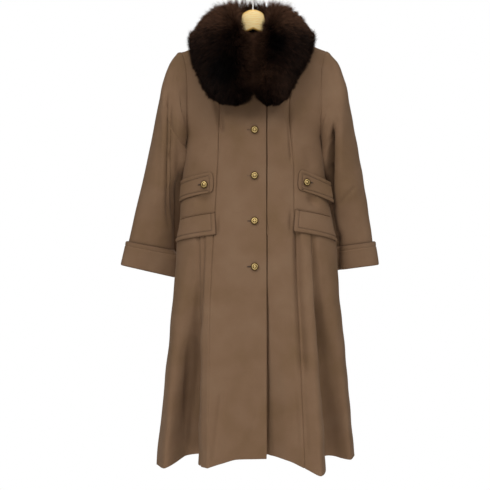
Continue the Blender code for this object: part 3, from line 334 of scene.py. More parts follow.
# Creases in the cloth, each from its upper end to its lower one, seen from the front: where its ends lie
# across and in height, its width at each end, how far it stands out (below 0 it is a trough), how far it bows
# to the wearer's right, and its kind. A fold is even on both sides, and a dent is a fold that is deepest in
# its middle. A step stands out on one side of its line and falls away on the other: on the wearer's right
# where its rise is above 0, and on the left where it is below.
Crease = namedtuple("Crease", "name x0 z0 x1 z1 width0 width1 rise bow kind", defaults=(0.0, "fold"))
CREASES = {
    "front": [
        Crease("first fold under the right flap", -0.1378, -0.625, -0.1402, -0.815, 0.005, 0.006, -0.0062),
        Crease("its lower run, into the trough", -0.1392, -0.765, -0.17, -1.15, 0.0055, 0.0125, -0.013),
        Crease("second fold under the right flap", -0.1235, -0.625, -0.1305, -0.905, 0.0044, 0.0056, -0.0054),
        Crease("edge of the right fold", -0.125, -0.7, -0.1425, -1.235, 0.01, 0.024, -0.0045, 0.0, "step"),
        Crease("ridge in the right trough", -0.153, -0.9, -0.1722, -1.23, 0.008, 0.011, 0.005, 0.0, "step"),
        Crease("hollow by the right fold's edge", -0.1415, -0.83, -0.149, -1.33, 0.008, 0.0115, -0.015),
        Crease("first fold under the left flap", 0.1075, -0.6, 0.1225, -1.03, 0.0078, 0.0105, -0.015, 0.001),
        Crease("edge of the left fold", 0.1465, -0.64, 0.1817, -1.235, 0.01, 0.026, 0.005, 0.008, "step"),
        Crease("its shadowed side", 0.1503, -0.63, 0.186, -1.000, 0.0062, 0.012, -0.0125, 0.004),
        Crease("hollow of the left trough", 0.161, -0.78, 0.2066, -1.33, 0.007, 0.0155, -0.0185),
        Crease("lit ridge between them", 0.13, -0.64, 0.146, -1.02, 0.009, 0.011, 0.003),
        Crease("by the left princess seam", 0.1165, -0.97, 0.129, -1.2, 0.0045, 0.007, -0.003),
        Crease("small crease low down", 0.1, -1.02, 0.108, -1.18, 0.005, 0.005, -0.0016),
        Crease("sag below the right tab", -0.152, -0.574, -0.1, -0.56, 0.008, 0.008, -0.009, 0.0, "dent"),
        Crease("sag below the left tab", 0.13, -0.552, 0.17, -0.586, 0.009, 0.009, -0.01, 0.0, "dent"),
        Crease("beside the right flap", -0.0895, -0.6, -0.0905, -0.666, 0.004, 0.004, -0.005, 0.0, "dent"),
        Crease("beside the left flap", 0.097, -0.58, 0.093, -0.668, 0.006, 0.006, -0.007, 0.0, "dent"),
        Crease("dip below the collar's end", -0.093, -0.31, -0.079, -0.405, 0.0095, 0.007, -0.0095),
        Crease("dip along the left princess seam", 0.09, -0.32, 0.0955, -0.485, 0.007, 0.0036, -0.006),
        Crease("floor of the right trough", -0.15, -0.9, -0.156, -1.36, 0.015, 0.018, -0.014),
        Crease("pull above the hem", -0.076, -1.02, -0.0985, -1.215, 0.005, 0.0075, -0.0026),
        Crease("pull by the free edge", 0.018, -1.06, -0.014, -1.16, 0.008, 0.008, -0.0014),
        Crease("wave at the hip", -0.035, -0.7, -0.045, -1.000, 0.022, 0.026, 0.0012, 0.004),
        Crease("wave at the right chest", -0.05, -0.34, -0.062, -0.56, 0.02, 0.016, -0.0012),
        Crease("wave at the left chest", 0.066, -0.33, 0.06, -0.52, 0.016, 0.018, -0.0012),
        Crease("fold over the right chest", -0.15, -0.23, -0.138, -0.47, 0.016, 0.018, -0.0014),
        Crease("pull at the left tab", 0.128, -0.43, 0.15, -0.495, 0.012, 0.01, -0.0018),
    ],
    "back": [
        Crease("right hollow under the collar", -0.06, -0.3, -0.07, -0.54, 0.02, 0.024, -0.0024),
        Crease("left hollow under the collar", 0.07, -0.31, 0.06, -0.56, 0.022, 0.022, -0.0022),
        Crease("right pull at the waist", -0.14, -0.52, -0.12, -0.68, 0.01, 0.012, -0.003),
        Crease("left pull at the waist", 0.15, -0.51, 0.125, -0.65, 0.01, 0.01, -0.0028),
        Crease("right soft fold in the skirt", -0.085, -0.76, -0.08, -1.15, 0.01, 0.018, 0.0034),
        Crease("left soft fold in the skirt", 0.088, -0.8, 0.092, -1.18, 0.01, 0.016, 0.003),
        Crease("right fold from the hip", -0.15, -0.64, -0.168, -1.1, 0.006, 0.012, -0.005),
        Crease("left fold from the hip", 0.156, -0.66, 0.182, -1.08, 0.006, 0.012, -0.0054),
    ],
    "sleeve_right": [
        Crease("shadowed trough", -0.2195, -0.27, -0.2215, -0.655, 0.006, 0.0066, -0.0115),
        Crease("thin trough beside it", -0.2075, -0.3, -0.209, -0.64, 0.004, 0.0042, -0.007),
        Crease("flat stretch beside the body", -0.19, -0.27, -0.188, -0.5, 0.011, 0.011, 0.007),
        Crease("edge against the body", -0.1775, -0.3, -0.1785, -0.51, 0.0075, 0.0075, 0.0075),
        Crease("set back beside the body", -0.195, -0.5, -0.196, -0.735, 0.014, 0.016, -0.01),
        Crease("deep trough beside the body", -0.1885, -0.48, -0.199, -0.73, 0.006, 0.006, -0.026),
        Crease("flat end of the cuff", -0.2, -0.69, -0.2, -0.84, 0.024, 0.024, 0.016),
        Crease("second trough", -0.236, -0.33, -0.244, -0.6, 0.007, 0.01, -0.0022),
        Crease("fold at the head", -0.205, -0.215, -0.212, -0.32, 0.007, 0.008, -0.0026),
        Crease("pucker at the seam", -0.176, -0.254, -0.196, -0.262, 0.004, 0.005, -0.003),
        Crease("wave by the cuff", -0.26, -0.56, -0.238, -0.67, 0.01, 0.012, 0.0016),
    ],
    "sleeve_left": [
        Crease("deep wedge beside the body", 0.2028, -0.37, 0.1955, -0.585, 0.004, 0.0078, -0.03),
        Crease("foot of the wedge", 0.1975, -0.47, 0.1955, -0.59, 0.006, 0.01, -0.034),
        Crease("edge against the body", 0.182, -0.33, 0.185, -0.52, 0.0075, 0.0075, 0.006),
        Crease("shadow above the cuff", 0.199, -0.56, 0.2215, -0.68, 0.007, 0.0085, -0.011),
        Crease("shadow across the cuff", 0.2215, -0.64, 0.2225, -0.8, 0.0085, 0.009, -0.013),
        Crease("long slant fold", 0.264, -0.53, 0.221, -0.582, 0.005, 0.006, -0.0026, 0.002),
        Crease("ridge by the wedge", 0.22, -0.33, 0.224, -0.52, 0.008, 0.009, 0.003),
        Crease("fold at the head", 0.204, -0.21, 0.216, -0.33, 0.008, 0.01, -0.0022),
        Crease("wave on the upper arm", 0.245, -0.32, 0.252, -0.48, 0.012, 0.016, -0.0012),
    ],
    "sleeve_backs": [
        Crease("right elbow", -0.215, -0.4, -0.242, -0.48, 0.009, 0.011, -0.004),
        Crease("right lower arm", -0.225, -0.52, -0.24, -0.69, 0.008, 0.01, -0.005),
        Crease("right head", -0.206, -0.23, -0.216, -0.34, 0.008, 0.01, -0.0026),
        Crease("left elbow", 0.218, -0.41, 0.244, -0.5, 0.009, 0.011, -0.0044),
        Crease("left lower arm", 0.23, -0.54, 0.242, -0.7, 0.008, 0.01, -0.005),
        Crease("left head", 0.208, -0.22, 0.218, -0.33, 0.008, 0.01, -0.0024),
    ],
}
STEP_EDGE = 0.0017  # half the width over which a step falls
CREASE_FADE = 0.18  # the share of its length over which a crease comes in at each end
DENT_FADE = 0.5  # and of a dent's, which is deepest in its middle
FACING_GAIN = 3  # how quickly creases come in from the sides of the form to its front or back
RUMPLE = 0.0005  # how far the cloth waves all over
RUMPLE_LENGTHS = [0.093, 0.061, 0.147]
# The first wave's way from above, in radians, how much it runs up, and how much each next one adds to both
RUMPLE_TURN = (0.7, 2.4)
RUMPLE_UP = (0.45, 0.2)
RUMPLE_DEPTH = 0.6  # how much of a wave's run from front to back is kept

# Stitches
STITCH_LENGTH = 0.0034
STITCH_PITCH = 0.0044
STITCH_RADIUS = 0.00042
# A stitch's rings: place along its length, lift and size, both as shares of its radius
STITCH_PROFILE = [(-0.50, -0.9, 0.55), (-0.28, 0.35, 1.0), (0.28, 0.35, 1.0), (0.50, -0.9, 0.55)]
STITCH_SIDES = 5
TOPSTITCH_INSET = 0.0112
MEETING_SHARE = 0.98  # of that inset is kept between the ends of two rows that meet
PAINTED_EDGE_SHADE_WIDTH = 0.0026  # how far in from an edge the cloth has painted shade, for the shadow in the gap beside it
GROOVE_DEPTH = 0.0011
GROOVE_HALF_WIDTH = 0.0020
CUSHION = (0.0006, 0.003)  # how far a flap or tab swells between its edge and its stitches, and half how wide

# Fur
PELT_DEPTH = 0.025  # how far the pelt lies inside the collar's form
PELT_SHARE = 0.62  # and the most of the roll's thickness that this takes
PELT_LEAST = 0.001  # the least thickness that is reckoned with
FUR_SEED = 7
HAIRS_EACH = 50000
HAIR_HALF_WIDTH = 0.00055
LOCK_SPACING = 0.0052
FUR_AREA = 0.085  # of the pelt under one piece of fur, about, in square metres
FUR_SPLITS = (-0.36, 0.36)  # where along the roll the three pieces of fur meet

# Camera
CAMERA_ACROSS = -0.0208
CAMERA_HEIGHT = -0.6815
CAMERA_DISTANCE = 2.0
PICTURE_SIDE = 490 * 0.0026  # the photograph's side at the coat's middle: its pixels and one pixel's size
SENSOR_WIDTH = 36

# Lights and stage
Light = namedtuple("Light", "name place aim size power")
LIGHTS = [
    Light("left softbox", (-2.4, -3.3, 2.0), (0, 0, -0.7), 1.8, 80),
    Light("right softbox", (2.4, -3.3, 1.9), (0, 0, -0.7), 1.8, 54),
    Light("top softbox", (0.0, -2.6, 3.2), (0, 0, -0.7), 2.0, 54),
    Light("low front", (0.0, -2.3, -1.9), (0, 0, -1.05), 1.4, 18),
    Light("back", (0.4, 3.2, 1.2), (0, 0, -0.7), 2.4, 110),
]
WORLD_LIGHT = 0.22
FLOOR_SIDE = 2.6
FLOOR_PLACE = (0, -0.35, -1.80)


# Curves through the tables


def smooth_curve(knots, values, at):
    """A smooth curve through a table's values, level at each peak and trough, so that it never overshoots."""
    knots, values = np.asarray(knots, float), np.asarray(values, float)
    if knots[0] > knots[-1]:
        knots, values = knots[::-1], values[::-1]
    at = np.clip(at, knots[0], knots[-1])
    steps = np.diff(knots)
    slopes = np.diff(values) / steps
    product = slopes[:-1] * slopes[1:]
    total = np.where(product > 0, slopes[:-1] + slopes[1:], 1)
    tangents = np.concatenate([slopes[:1], np.where(product > 0, 2 * product / total, 0), slopes[-1:]])
    index = np.clip(np.searchsorted(knots, at) - 1, 0, len(steps) - 1)
    share = (at - knots[index]) / steps[index]
    rest = 1 - share
    ends = values[index] * rest**2 * (1 + 2 * share) + values[index + 1] * share**2 * (1 + 2 * rest)
    return ends + steps[index] * share * rest * (tangents[index] * rest - tangents[index + 1] * share)


def from_table(rows, column, at, key):
    return smooth_curve([getattr(row, key) for row in rows], [getattr(row, column) for row in rows], at)


def eased(share):
    share = np.clip(share, 0, 1)
    return share * share * (3 - 2 * share)


def unit(vectors):
    return vectors / np.maximum(np.linalg.norm(vectors, axis=-1, keepdims=True), 1e-12)


# The body's surface, as in the part's source


def level(column, height):
    return from_table(BODY_LEVELS, column, height, "height")


def half_width(sign, height):
    return np.where(sign < 0, level("right", height), level("left", height))


def princess_across(sign, height):
    right = from_table(PRINCESS_SEAMS, "right", height, "height")
    left = from_table(PRINCESS_SEAMS, "left", height, "height")
    return np.where(sign < 0, -right, left)


def shoulder_height(across):
    return from_table(SHOULDER_LINE, "height", np.abs(across), "across") + SHOULDER_TILT * across


def section_depth(share):
    return np.maximum(1 - np.abs(share) ** SECTION_POWER, 0) ** (1 / SECTION_POWER)


def front_turn(across, height):
    """The turn round the body, in radians from the centre front, of a place on the front."""
    share = np.clip(np.abs(across) / half_width(across, height), 0, 1)
    return np.sign(across) * np.arcsin(share ** (SECTION_POWER / 2))


def body_point(turn, height):
    """A point below the armpit, without folds. Turn is 0 at the centre front and grows to the left."""
    side, forward = np.sin(turn), np.cos(turn)
    depth = np.where(forward > 0, level("front", height), level("back", height))
    across = np.sign(side) * half_width(side, height) * np.abs(side) ** (2 / SECTION_POWER)
    along = -np.sign(forward) * depth * np.abs(forward) ** (2 / SECTION_POWER)
    return np.stack(np.broadcast_arrays(across, along, height), axis=-1)


def arch_point(across, rise, back):
    """A point above the armpit, at a share of the way up to the shoulder line, on the front or the back."""
    widening = SHOULDER_SPREAD * eased(rise / SPREAD_RISE)
    depth = level("back" if back else "front", ARMPIT) * section_depth(
        across / (half_width(across, ARMPIT) + widening)
    )
    along = depth * np.maximum(1 - rise**ARCH_POWER, 0) ** (1 / ARCH_POWER)
    along = np.maximum(along, SEAM_GAP / 2) if back else -np.maximum(along, SEAM_GAP / 2)
    height = ARMPIT + (shoulder_height(across) - ARMPIT) * rise
    return np.stack(np.broadcast_arrays(across, along, height), axis=-1)


def neck_rise(across, drop):
    """The share of the way up at which a panel ends, 1 on the shoulder and less along the neckline."""
    inside = np.clip(1 - (across / NECK_HALF_WIDTH) ** 2, 0, 1)
    side = shoulder_height(np.sign(across) * NECK_HALF_WIDTH)
    top = np.where(inside > 0, side - drop * np.sqrt(inside), shoulder_height(across))
    return np.minimum((top - ARMPIT) / (shoulder_height(across) - ARMPIT), 1)


def armhole_rises():
    """The rows above the armpit, as shares of the way up, closer together near both ends."""
    steps = 0.5 - 0.5 * np.cos(math.pi * np.linspace(0, 1, ROWS_ABOVE + 1))
    return np.sort(np.append(steps, CREST_RISE))


def armhole_across(sign, rise):
    return sign * (half_width(sign, ARMPIT) - from_table(ARMHOLE, "inset", rise, "rise"))


def seam_turns(panel, height):
    """The turns of a panel's two edges at a height."""
    sign = -1 if panel.endswith("right") else 1
    princess = front_turn(princess_across(sign, height), height)
    quarter = np.full_like(height, sign * math.pi / 2)
    half = np.full_like(height, sign * math.pi)
    return {
        "front_right": (front_turn(LAP_EDGE, height), princess),
        "side_front_right": (princess, quarter),
        "back_right": (quarter, half),
        "back_left": (half, quarter),
        "side_front_left": (quarter, princess),
        "front_left": (princess, front_turn(UNDER_EDGE, height)),
    }[panel]


def panel_below(panel, places):
    """A panel's points from the hem up to the armpit, a row for each level."""
    rows = HEM_POINTS[panel]
    columns = ("share", "across", "depth", "height", "starts")
    share, across, depth, height, starts = (from_table(rows, column, places, "place") for column in columns)
    levels = np.linspace(HEM, ARMPIT, ROWS_BELOW + 1)[:, None]
    first, second = seam_turns(panel, levels)
    plain = body_point(first + (second - first) * share, levels)
    hem = body_point((first + (second - first) * share)[:1], levels[:1])
    growth = np.clip((starts - levels) / (starts - HEM), 0, 1) ** FOLD_GROWTH
    moved = np.stack([across - hem[..., 0], depth - hem[..., 1]], axis=-1)
    plain[..., :2] += growth[..., None] * moved
    plain[..., 2] += (height - HEM) * ((ARMPIT - levels) / (ARMPIT - HEM)) ** HEM_GROWTH
    return plain


def upper_edges(panel, rise):
    """How far across a panel's two edges lie above the armpit, the one nearer the centre first."""
    sign = -1 if panel.endswith("right") else 1
    princess = princess_across(sign, ARMPIT + (PRINCESS_SEAMS[0].height - ARMPIT) * rise)
    if panel.startswith("front"):
        return (LAP_EDGE if sign < 0 else UNDER_EDGE), princess
    if panel.startswith("side_front"):
        return princess, armhole_across(sign, rise)
    return 0.0, armhole_across(sign, rise)


def panel_above(panel, start):
    """A panel's points above the armpit, from its top row below."""
    back = panel.startswith("back")
    drop = BACK_NECK_DROP if back else FRONT_NECK_DROP
    steps = armhole_rises()[1:, None]
    inner, outer = upper_edges(panel, np.zeros(1))
    share = (start[:, 0] - inner) / (outer - inner)
    inner, outer = upper_edges(panel, np.ones(1))
    rise = steps * neck_rise(inner + (outer - inner) * share, drop)
    inner, outer = upper_edges(panel, rise)
    return arch_point(inner + (outer - inner) * share, rise, back)


def under_lap(points):
    """The under front's points, moved back behind the over front, and further along the over front's edge."""
    start, end = LAP_BLEND
    inset = LAP_INSET * (1 - eased((points[..., 0] - start) / (end - start)))
    heights, halves = zip(*LAP_GROOVE_HALF)
    half = smooth_curve(heights, halves, points[..., 2])
    inset += LAP_GROOVE * np.exp(-(((points[..., 0] - LAP_EDGE - half / 2) / half) ** 2))
    moved = points.copy()
    moved[..., 1] += inset
    return moved


def panel_places(panel):
    """Where a panel's columns lie between its two edges."""
    places = np.linspace(0, 1, PANEL_COLUMNS[panel] + 1)
    if panel == "front_left":
        places = np.union1d(places, np.linspace(*LAP_COLUMNS))
    return places


def body_grids():
    grids = {}
    for panel in PANEL_COLUMNS:
        below = panel_below(panel, panel_places(panel))
        points = np.concatenate([below, panel_above(panel, below[-1])])
        grids[panel] = under_lap(points) if panel == "front_left" else points
    return grids


# Sleeves and cuffs, as in the part's source


def armhole_loop(grids, side):
    """The armhole from its top, down the front to the armpit and up the back."""
    front, back = grids[f"side_front_{side}"], grids[f"back_{side}"]
    front_column, back_column = (-1, 0) if side == "right" else (0, -1)
    down = front[ROWS_BELOW:, front_column][::-1]
    up = back[ROWS_BELOW:, back_column]
    return np.concatenate([down, up[1:-1]])


def ring_turns():
    """Turns round a sleeve, 0 at its outer edge and a half at its inner edge, one for each armhole point."""
    down = np.arccos(2 * armhole_rises()[::-1] - 1)
    return np.concatenate([down, 2 * math.pi - down[-2:0:-1]])


def sleeve_points(grids, side, places):
    """Rings of a sleeve's outer side at places along it, 0 at the armhole and 1 at its end."""
    sign = SIDES[side]

    def along_sleeve(column):
        return from_table(SLEEVE_TABLES[side], column, places, "along")

    def edge(name):
        edge_line = [sign * along_sleeve(name), along_sleeve(f"{name}_back"), along_sleeve(f"{name}_height")]
        return np.stack(edge_line, axis=-1)

    outer = edge("outer")
    inner = edge("inner")
    depth = along_sleeve("depth")
    middle, half = (outer + inner) / 2, (outer - inner) / 2
    forward = unit(np.cross(half, np.gradient(middle, places, axis=0)))
    forward *= -np.sign(forward[:, 1:2])
    start, end = CUFF_LEVEL_RUN
    forward[:, 2] *= 1 - CUFF_LEVEL * eased((places - start) / (end - start))
    forward = unit(forward)
    turns = ring_turns()
    rings = middle[:, None] + half[:, None] * np.cos(turns)[None, :, None]
    rings += (forward * depth[:, None])[:, None] * np.sin(turns)[None, :, None]

    loop = armhole_loop(grids, side)
    rise = (loop[:, 2] - loop[:, 2].min()) / (loop[:, 2].max() - loop[:, 2].min())
    shaped = inner[:, None] + (outer - inner)[:, None] * rise[None, :, None]
    shaped[..., 1] = loop[:, 1] * depth[:, None] / np.abs(loop[:, 1]).max()
    blend = eased(places / HEAD_BLEND)[:, None, None]
    rings = shaped * (1 - blend) + rings * blend

    trough, place, width = SLEEVE_TROUGH
    start, end = SLEEVE_TROUGH_RUN
    dent = trough * np.exp(-(((turns / DEGREE - place) / width) ** 2))
    run = eased((places - start) / (end - start))
    start, end = SLEEVE_TROUGH_END
    run *= 1 - eased((places - start) / (end - start))
    centre = rings.mean(axis=1, keepdims=True)
    return rings + unit(centre - rings) * dent[None, :, None] * run[:, None, None]


def tube_directions(rings):
    """Outward directions of a tube of rings."""
    along = np.gradient(rings, axis=0)
    around = np.roll(rings, -1, axis=1) - np.roll(rings, 1, axis=1)
    outward = unit(np.cross(along, around))
    away = rings - rings.mean(axis=1, keepdims=True)
    return outward * np.sign((outward * away).sum(axis=-1).sum())


# Making sheets of cloth from grids of points


def grid_directions(points):
    """Outward directions of an open grid whose rows go up and whose columns go to the wearer's right."""
    return unit(np.cross(np.gradient(points, axis=0), np.gradient(points, axis=1)))


def distance_to(crease, points):
    """How far points lie from a crease, and the share of its length at which they do, seen from the front."""
    start, end = np.array([crease.x0, crease.z0]), np.array([crease.x1, crease.z1])
    run = end - start
    length = np.hypot(*run)
    flat = points[..., [0, 2]] - start
    share = (flat @ run) / length**2
    aside = (flat[..., 0] * run[1] - flat[..., 1] * run[0]) / length
    return aside - crease.bow * 4 * share * (1 - share), share


def crease_form(crease, aside, width):
    """A crease's form across its run, as a share of its rise."""
    if crease.kind == "step":
        return np.tanh(aside / STEP_EDGE) * np.exp(-np.abs(aside) / width)
    return np.exp(-((aside / width) ** 2))


def crease_rise(points, outward, creases, facing):
    """How far creases move each point of the side that faces -Y (facing -1) or +Y (facing 1)."""
    rise = np.zeros(points.shape[:2])
    for crease in creases:
        aside, share = distance_to(crease, points)
        width = crease.width0 + (crease.width1 - crease.width0) * np.clip(share, 0, 1)
        fade = DENT_FADE if crease.kind == "dent" else CREASE_FADE
        along = eased(share / fade) * eased((1 - share) / fade)
        rise += crease.rise * crease_form(crease, aside, width) * along
    return rise * np.clip(facing * outward[..., 1] * FACING_GAIN, 0, 1)


def rumple(points):
    """A slight wave all over the cloth."""
    rise = np.zeros(points.shape[:2])
    first_turn, more_turn = RUMPLE_TURN
    first_up, more_up = RUMPLE_UP
    for index, length in enumerate(RUMPLE_LENGTHS):
        turn = more_turn * index + first_turn
        way = [math.cos(turn), RUMPLE_DEPTH * math.sin(turn), first_up + more_up * index]
        phase = points @ np.array(way)
        rise += RUMPLE * np.sin(phase * 2 * math.pi / length + index)
    return rise


def creased_panel(points, outward, panel):
    back = panel.startswith("back")
    rise = crease_rise(points, outward, CREASES["back" if back else "front"], 1 if back else -1)
    return points + outward * (rise + rumple(points))[..., None]


def creased_sleeve(points, outward, side):
    rise = crease_rise(points, outward, CREASES[f"sleeve_{side}"], -1)
    rise += crease_rise(points, outward, CREASES["sleeve_backs"], 1)
    return points + outward * (rise + rumple(points))[..., None]


def near_edge(lines, roll):
    """The first line of a grid replaced by lines close to it, each turned in, on the sheet's own surface."""
    first, second, outward = lines
    away = unit(second - first)
    return [first + away * distance - outward * turned_in for distance, turned_in in roll]


def beyond(columns, reach):
    """The number of the first column that lies clear of a roll along the first one."""
    far = [np.linalg.norm(column - columns[0], axis=-1).mean() > ROLL_CLEAR * reach for column in columns[1:]]
    return 1 + far.index(True)


def rolled(points, outward, first=None, last=None):
    """A grid whose first and last columns are turned in, as the cloth is at a seam or a folded edge."""
    columns = [points[:, index] for index in range(points.shape[1])]
    start, end = [], []
    if first:
        kept = beyond(columns, first[-1][0])
        start = near_edge((columns[0], columns[kept], outward[:, 0]), first)
        columns = columns[kept:]
    if last:
        columns = columns[::-1]
        kept = beyond(columns, last[-1][0])
        end = near_edge((columns[0], columns[kept], outward[:, -1]), last)[::-1]
        columns = columns[kept:][::-1]
    return np.stack(start + columns + end, axis=1)


def rolled_rows(points, outward, first=None, last=None):
    turned = rolled(points.swapaxes(0, 1), outward.swapaxes(0, 1), first, last)
    return turned.swapaxes(0, 1)


def run_along(points, axis=0):
    """How far each point lies from the first, along the columns of a grid, or along its rows with axis 1."""
    steps = np.linalg.norm(np.diff(points, axis=axis), axis=-1)
    return np.concatenate([np.zeros_like(steps.take([0], axis)), np.cumsum(steps, axis=axis)], axis=axis)


def cloth_coordinates(points, closed):
    """Each point's place on the flat cloth in metres: across from the middle column, and up along it."""
    if closed:
        points = np.concatenate([points, points[:, :1]], axis=1)
    middle = points.shape[1] // 2
    across = run_along(points, 1)
    across -= across[:, middle : middle + 1]
    up = run_along(points[:, middle])[:, None] + np.zeros(across.shape)
    return np.stack([across, up], axis=-1)


def painted_edge_shade_share(points, edges):
    """How much painted shade each point of a grid gets from the listed edges, for the shadow in the gap
    beside them: 1 on an edge, 0 away from them.
    """
    share = np.zeros(points.shape[:2])
    for edge in edges:
        end, line = edge.split()
        grid = points if line == "row" else points.swapaxes(0, 1)
        grid = grid if end == "first" else grid[::-1]
        near = np.exp(-((run_along(grid) / PAINTED_EDGE_SHADE_WIDTH) ** 2))
        near = near if end == "first" else near[::-1]
        share = np.maximum(share, near if line == "row" else near.swapaxes(0, 1))
    return share


def sheet_mesh(name, points, material, closed=False, thick=CLOTH, painted_edge_shade=()):
    """A sheet from a grid of points, thickened inward, with its places on the flat cloth as its UV map."""
    rows, columns = points.shape[:2]
    spans = columns if closed else columns - 1
    row, column = np.meshgrid(np.arange(rows - 1), np.arange(spans), indexing="ij")
    corners = [(row, column), (row + 1, column), (row + 1, column + 1), (row, column + 1)]
    faces = np.stack([down * columns + across % columns for down, across in corners], axis=-1)
    mesh = mesh_from(name, points.reshape(-1, 3), faces.reshape(-1, 4))
    flat = cloth_coordinates(points, closed)
    places = np.stack([flat[down, across] for down, across in corners], axis=2)
    layer = mesh.uv_layers.new(name="cloth")
    layer.data.foreach_set("uv", places.astype(np.float32).ravel())
    # Painted shade along the listed edges, for the shadow in the gap beside them
    attribute = mesh.attributes.new("painted_edge_shade", "FLOAT", "POINT")
    attribute.data.foreach_set("value", painted_edge_shade_share(points, painted_edge_shade).astype(np.float32).ravel())
    mesh.materials.append(material)
    thing = linked(name, mesh)
    solidify = thing.modifiers.new("Thickness", "SOLIDIFY")
    solidify.thickness = thick
    solidify.offset = -1
    apply_modifiers(thing)
    thing.data.shade_smooth()
    thing.data.set_sharp_from_angle(angle=SHARP_EDGE)
    return thing


def mesh_from(name, vertices, faces):
    """A mesh from an array of points and an array of faces that all have the same number of corners."""
    mesh = bpy.data.meshes.new(name)
    count, sides = faces.shape
    mesh.vertices.add(len(vertices))
    mesh.vertices.foreach_set("co", np.asarray(vertices, np.float32).ravel())
    mesh.loops.add(count * sides)
    mesh.loops.foreach_set("vertex_index", faces.astype(np.int32).ravel())
    mesh.polygons.add(count)
    mesh.polygons.foreach_set("loop_start", (np.arange(count) * sides).astype(np.int32))
    mesh.update(calc_edges=True)
    mesh.shade_smooth()
    return mesh


def linked(name, data):
    thing = bpy.data.objects.new(name, data)
    bpy.context.scene.collection.objects.link(thing)
    return thing


def select_only(thing):
    bpy.ops.object.select_all(action="DESELECT")
    bpy.context.view_layer.objects.active = thing
    thing.select_set(True)


def apply_modifiers(thing):
    select_only(thing)
    for modifier in list(thing.modifiers):
        bpy.ops.object.modifier_apply(modifier=modifier.name)


def on_part(thing, slot, *nodes):
    """Puts a piece on the part's one body and hides these nodes, which it stands for; slot is not used."""
    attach(thing, "root")
    if nodes:
        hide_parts(*nodes)
    return thing


# Stitches


def stitch_row(line, outward, closed=False):
    """Centres, directions and outward directions of stitches along a line on the cloth."""
    if closed:
        line = np.concatenate([line, line[:1]])
        outward = np.concatenate([outward, outward[:1]])
    lengths = run_along(line)
    count = max(int(lengths[-1] / STITCH_PITCH), 1)
    at = (np.arange(count) + 0.5) * lengths[-1] / count

    def value_at(values, where):
        return np.stack([np.interp(where, lengths, values[:, axis]) for axis in range(3)], axis=1)

    centres = value_at(line, at)
    direction = unit(value_at(line, at + STITCH_LENGTH / 4) - value_at(line, at - STITCH_LENGTH / 4))
    return centres, direction, unit(value_at(outward, at))


def stitches(name, rows, material, length=STITCH_LENGTH, radius=STITCH_RADIUS):
    """Sewing stitches as one joined mesh: each a short thread that dips into the cloth at both ends."""
    centres, directions, outward = (np.concatenate(parts) for parts in zip(*rows))
    aside = unit(np.cross(directions, outward))
    turns = np.arange(STITCH_SIDES) * 2 * math.pi / STITCH_SIDES
    vertices = []
    for along, lift, size in STITCH_PROFILE:
        middle = centres + directions * (along * length) + outward * (lift * radius)
        for turn in turns:
            vertices.append(middle + (aside * math.cos(turn) + outward * math.sin(turn)) * (radius * size))
    vertices = np.stack(vertices, axis=1)
    faces = []
    for ring in range(len(STITCH_PROFILE) - 1):
        for side in range(STITCH_SIDES):
            near = ring * STITCH_SIDES
            far = near + STITCH_SIDES
            after = (side + 1) % STITCH_SIDES
            faces.append([near + side, near + after, far + after, far + side])
    count = len(STITCH_PROFILE) * STITCH_SIDES
    faces = np.array(faces)[None] + (np.arange(len(centres)) * count)[:, None, None]
    mesh = mesh_from(name, vertices.reshape(-1, 3), faces.reshape(-1, 4))
    mesh.materials.append(material)
    return linked(name, mesh)


def grooved(points, outward, distance):
    """Points pressed in along a line of stitches, from each point's distance to it."""
    press = GROOVE_DEPTH * np.exp(-((distance / GROOVE_HALF_WIDTH) ** 2))
    return points - outward * press[..., None]


# Materials


def srgb(code):
    """A colour from its sRGB hex code, as linear values."""
    parts = [int(code[place : place + 2], 16) / 255 for place in (1, 3, 5)]
    return (*(part / 12.92 if part <= 0.04045 else ((part + 0.055) / 1.055) ** 2.4 for part in parts), 1)


def fill(tree, node, inputs):
    """Fills a node's sockets with values or with other nodes' outputs."""
    for name, value in inputs.items():
        if isinstance(value, bpy.types.NodeSocket):
            tree.links.new(value, node.inputs[name])
        else:
            node.inputs[name].default_value = value


def add_node(tree, kind, settings=None, inputs=None, stops=()):
    """Adds a node with its settings, its sockets' values or links, and a colour ramp's places and colours."""
    made = tree.nodes.new(kind)
    for name, value in (settings or {}).items():
        setattr(made, name, value)
    fill(tree, made, inputs or {})
    if stops:
        elements = made.color_ramp.elements
        while len(elements) < len(stops):
            elements.new(0.5)
        for element, (place, code) in zip(elements, stops):
            element.position = place
            element.color = srgb(code)
    return made


def new_material(name):
    material = bpy.data.materials.new(name)
    material.use_nodes = True
    return material, material.node_tree, material.node_tree.nodes["Principled BSDF"]


# Sizes and turns of the patterns in the materials
TWILL_PITCH = 0.0019  # real twill lines lie 0.6 mm apart, drawn coarser so that they show
TWILL_TURN = 27 * DEGREE
WAVE_PERIOD = math.pi / 10  # of a wave texture at scale 1
NAP_SIZE = 0.0011
CLOUD_SIZE = 0.085
TWIST_SIZE = 0.0006
TUFT_SIZE = 0.004
PATINA_SIZE = 0.0022
GRAIN_TURN = 24 * DEGREE
GRAIN_SCALE = (60, 400, 520)
MARK_SIZE = 0.0015
MULTIPLIED = {"data_type": "RGBA", "blend_type": "MULTIPLY"}


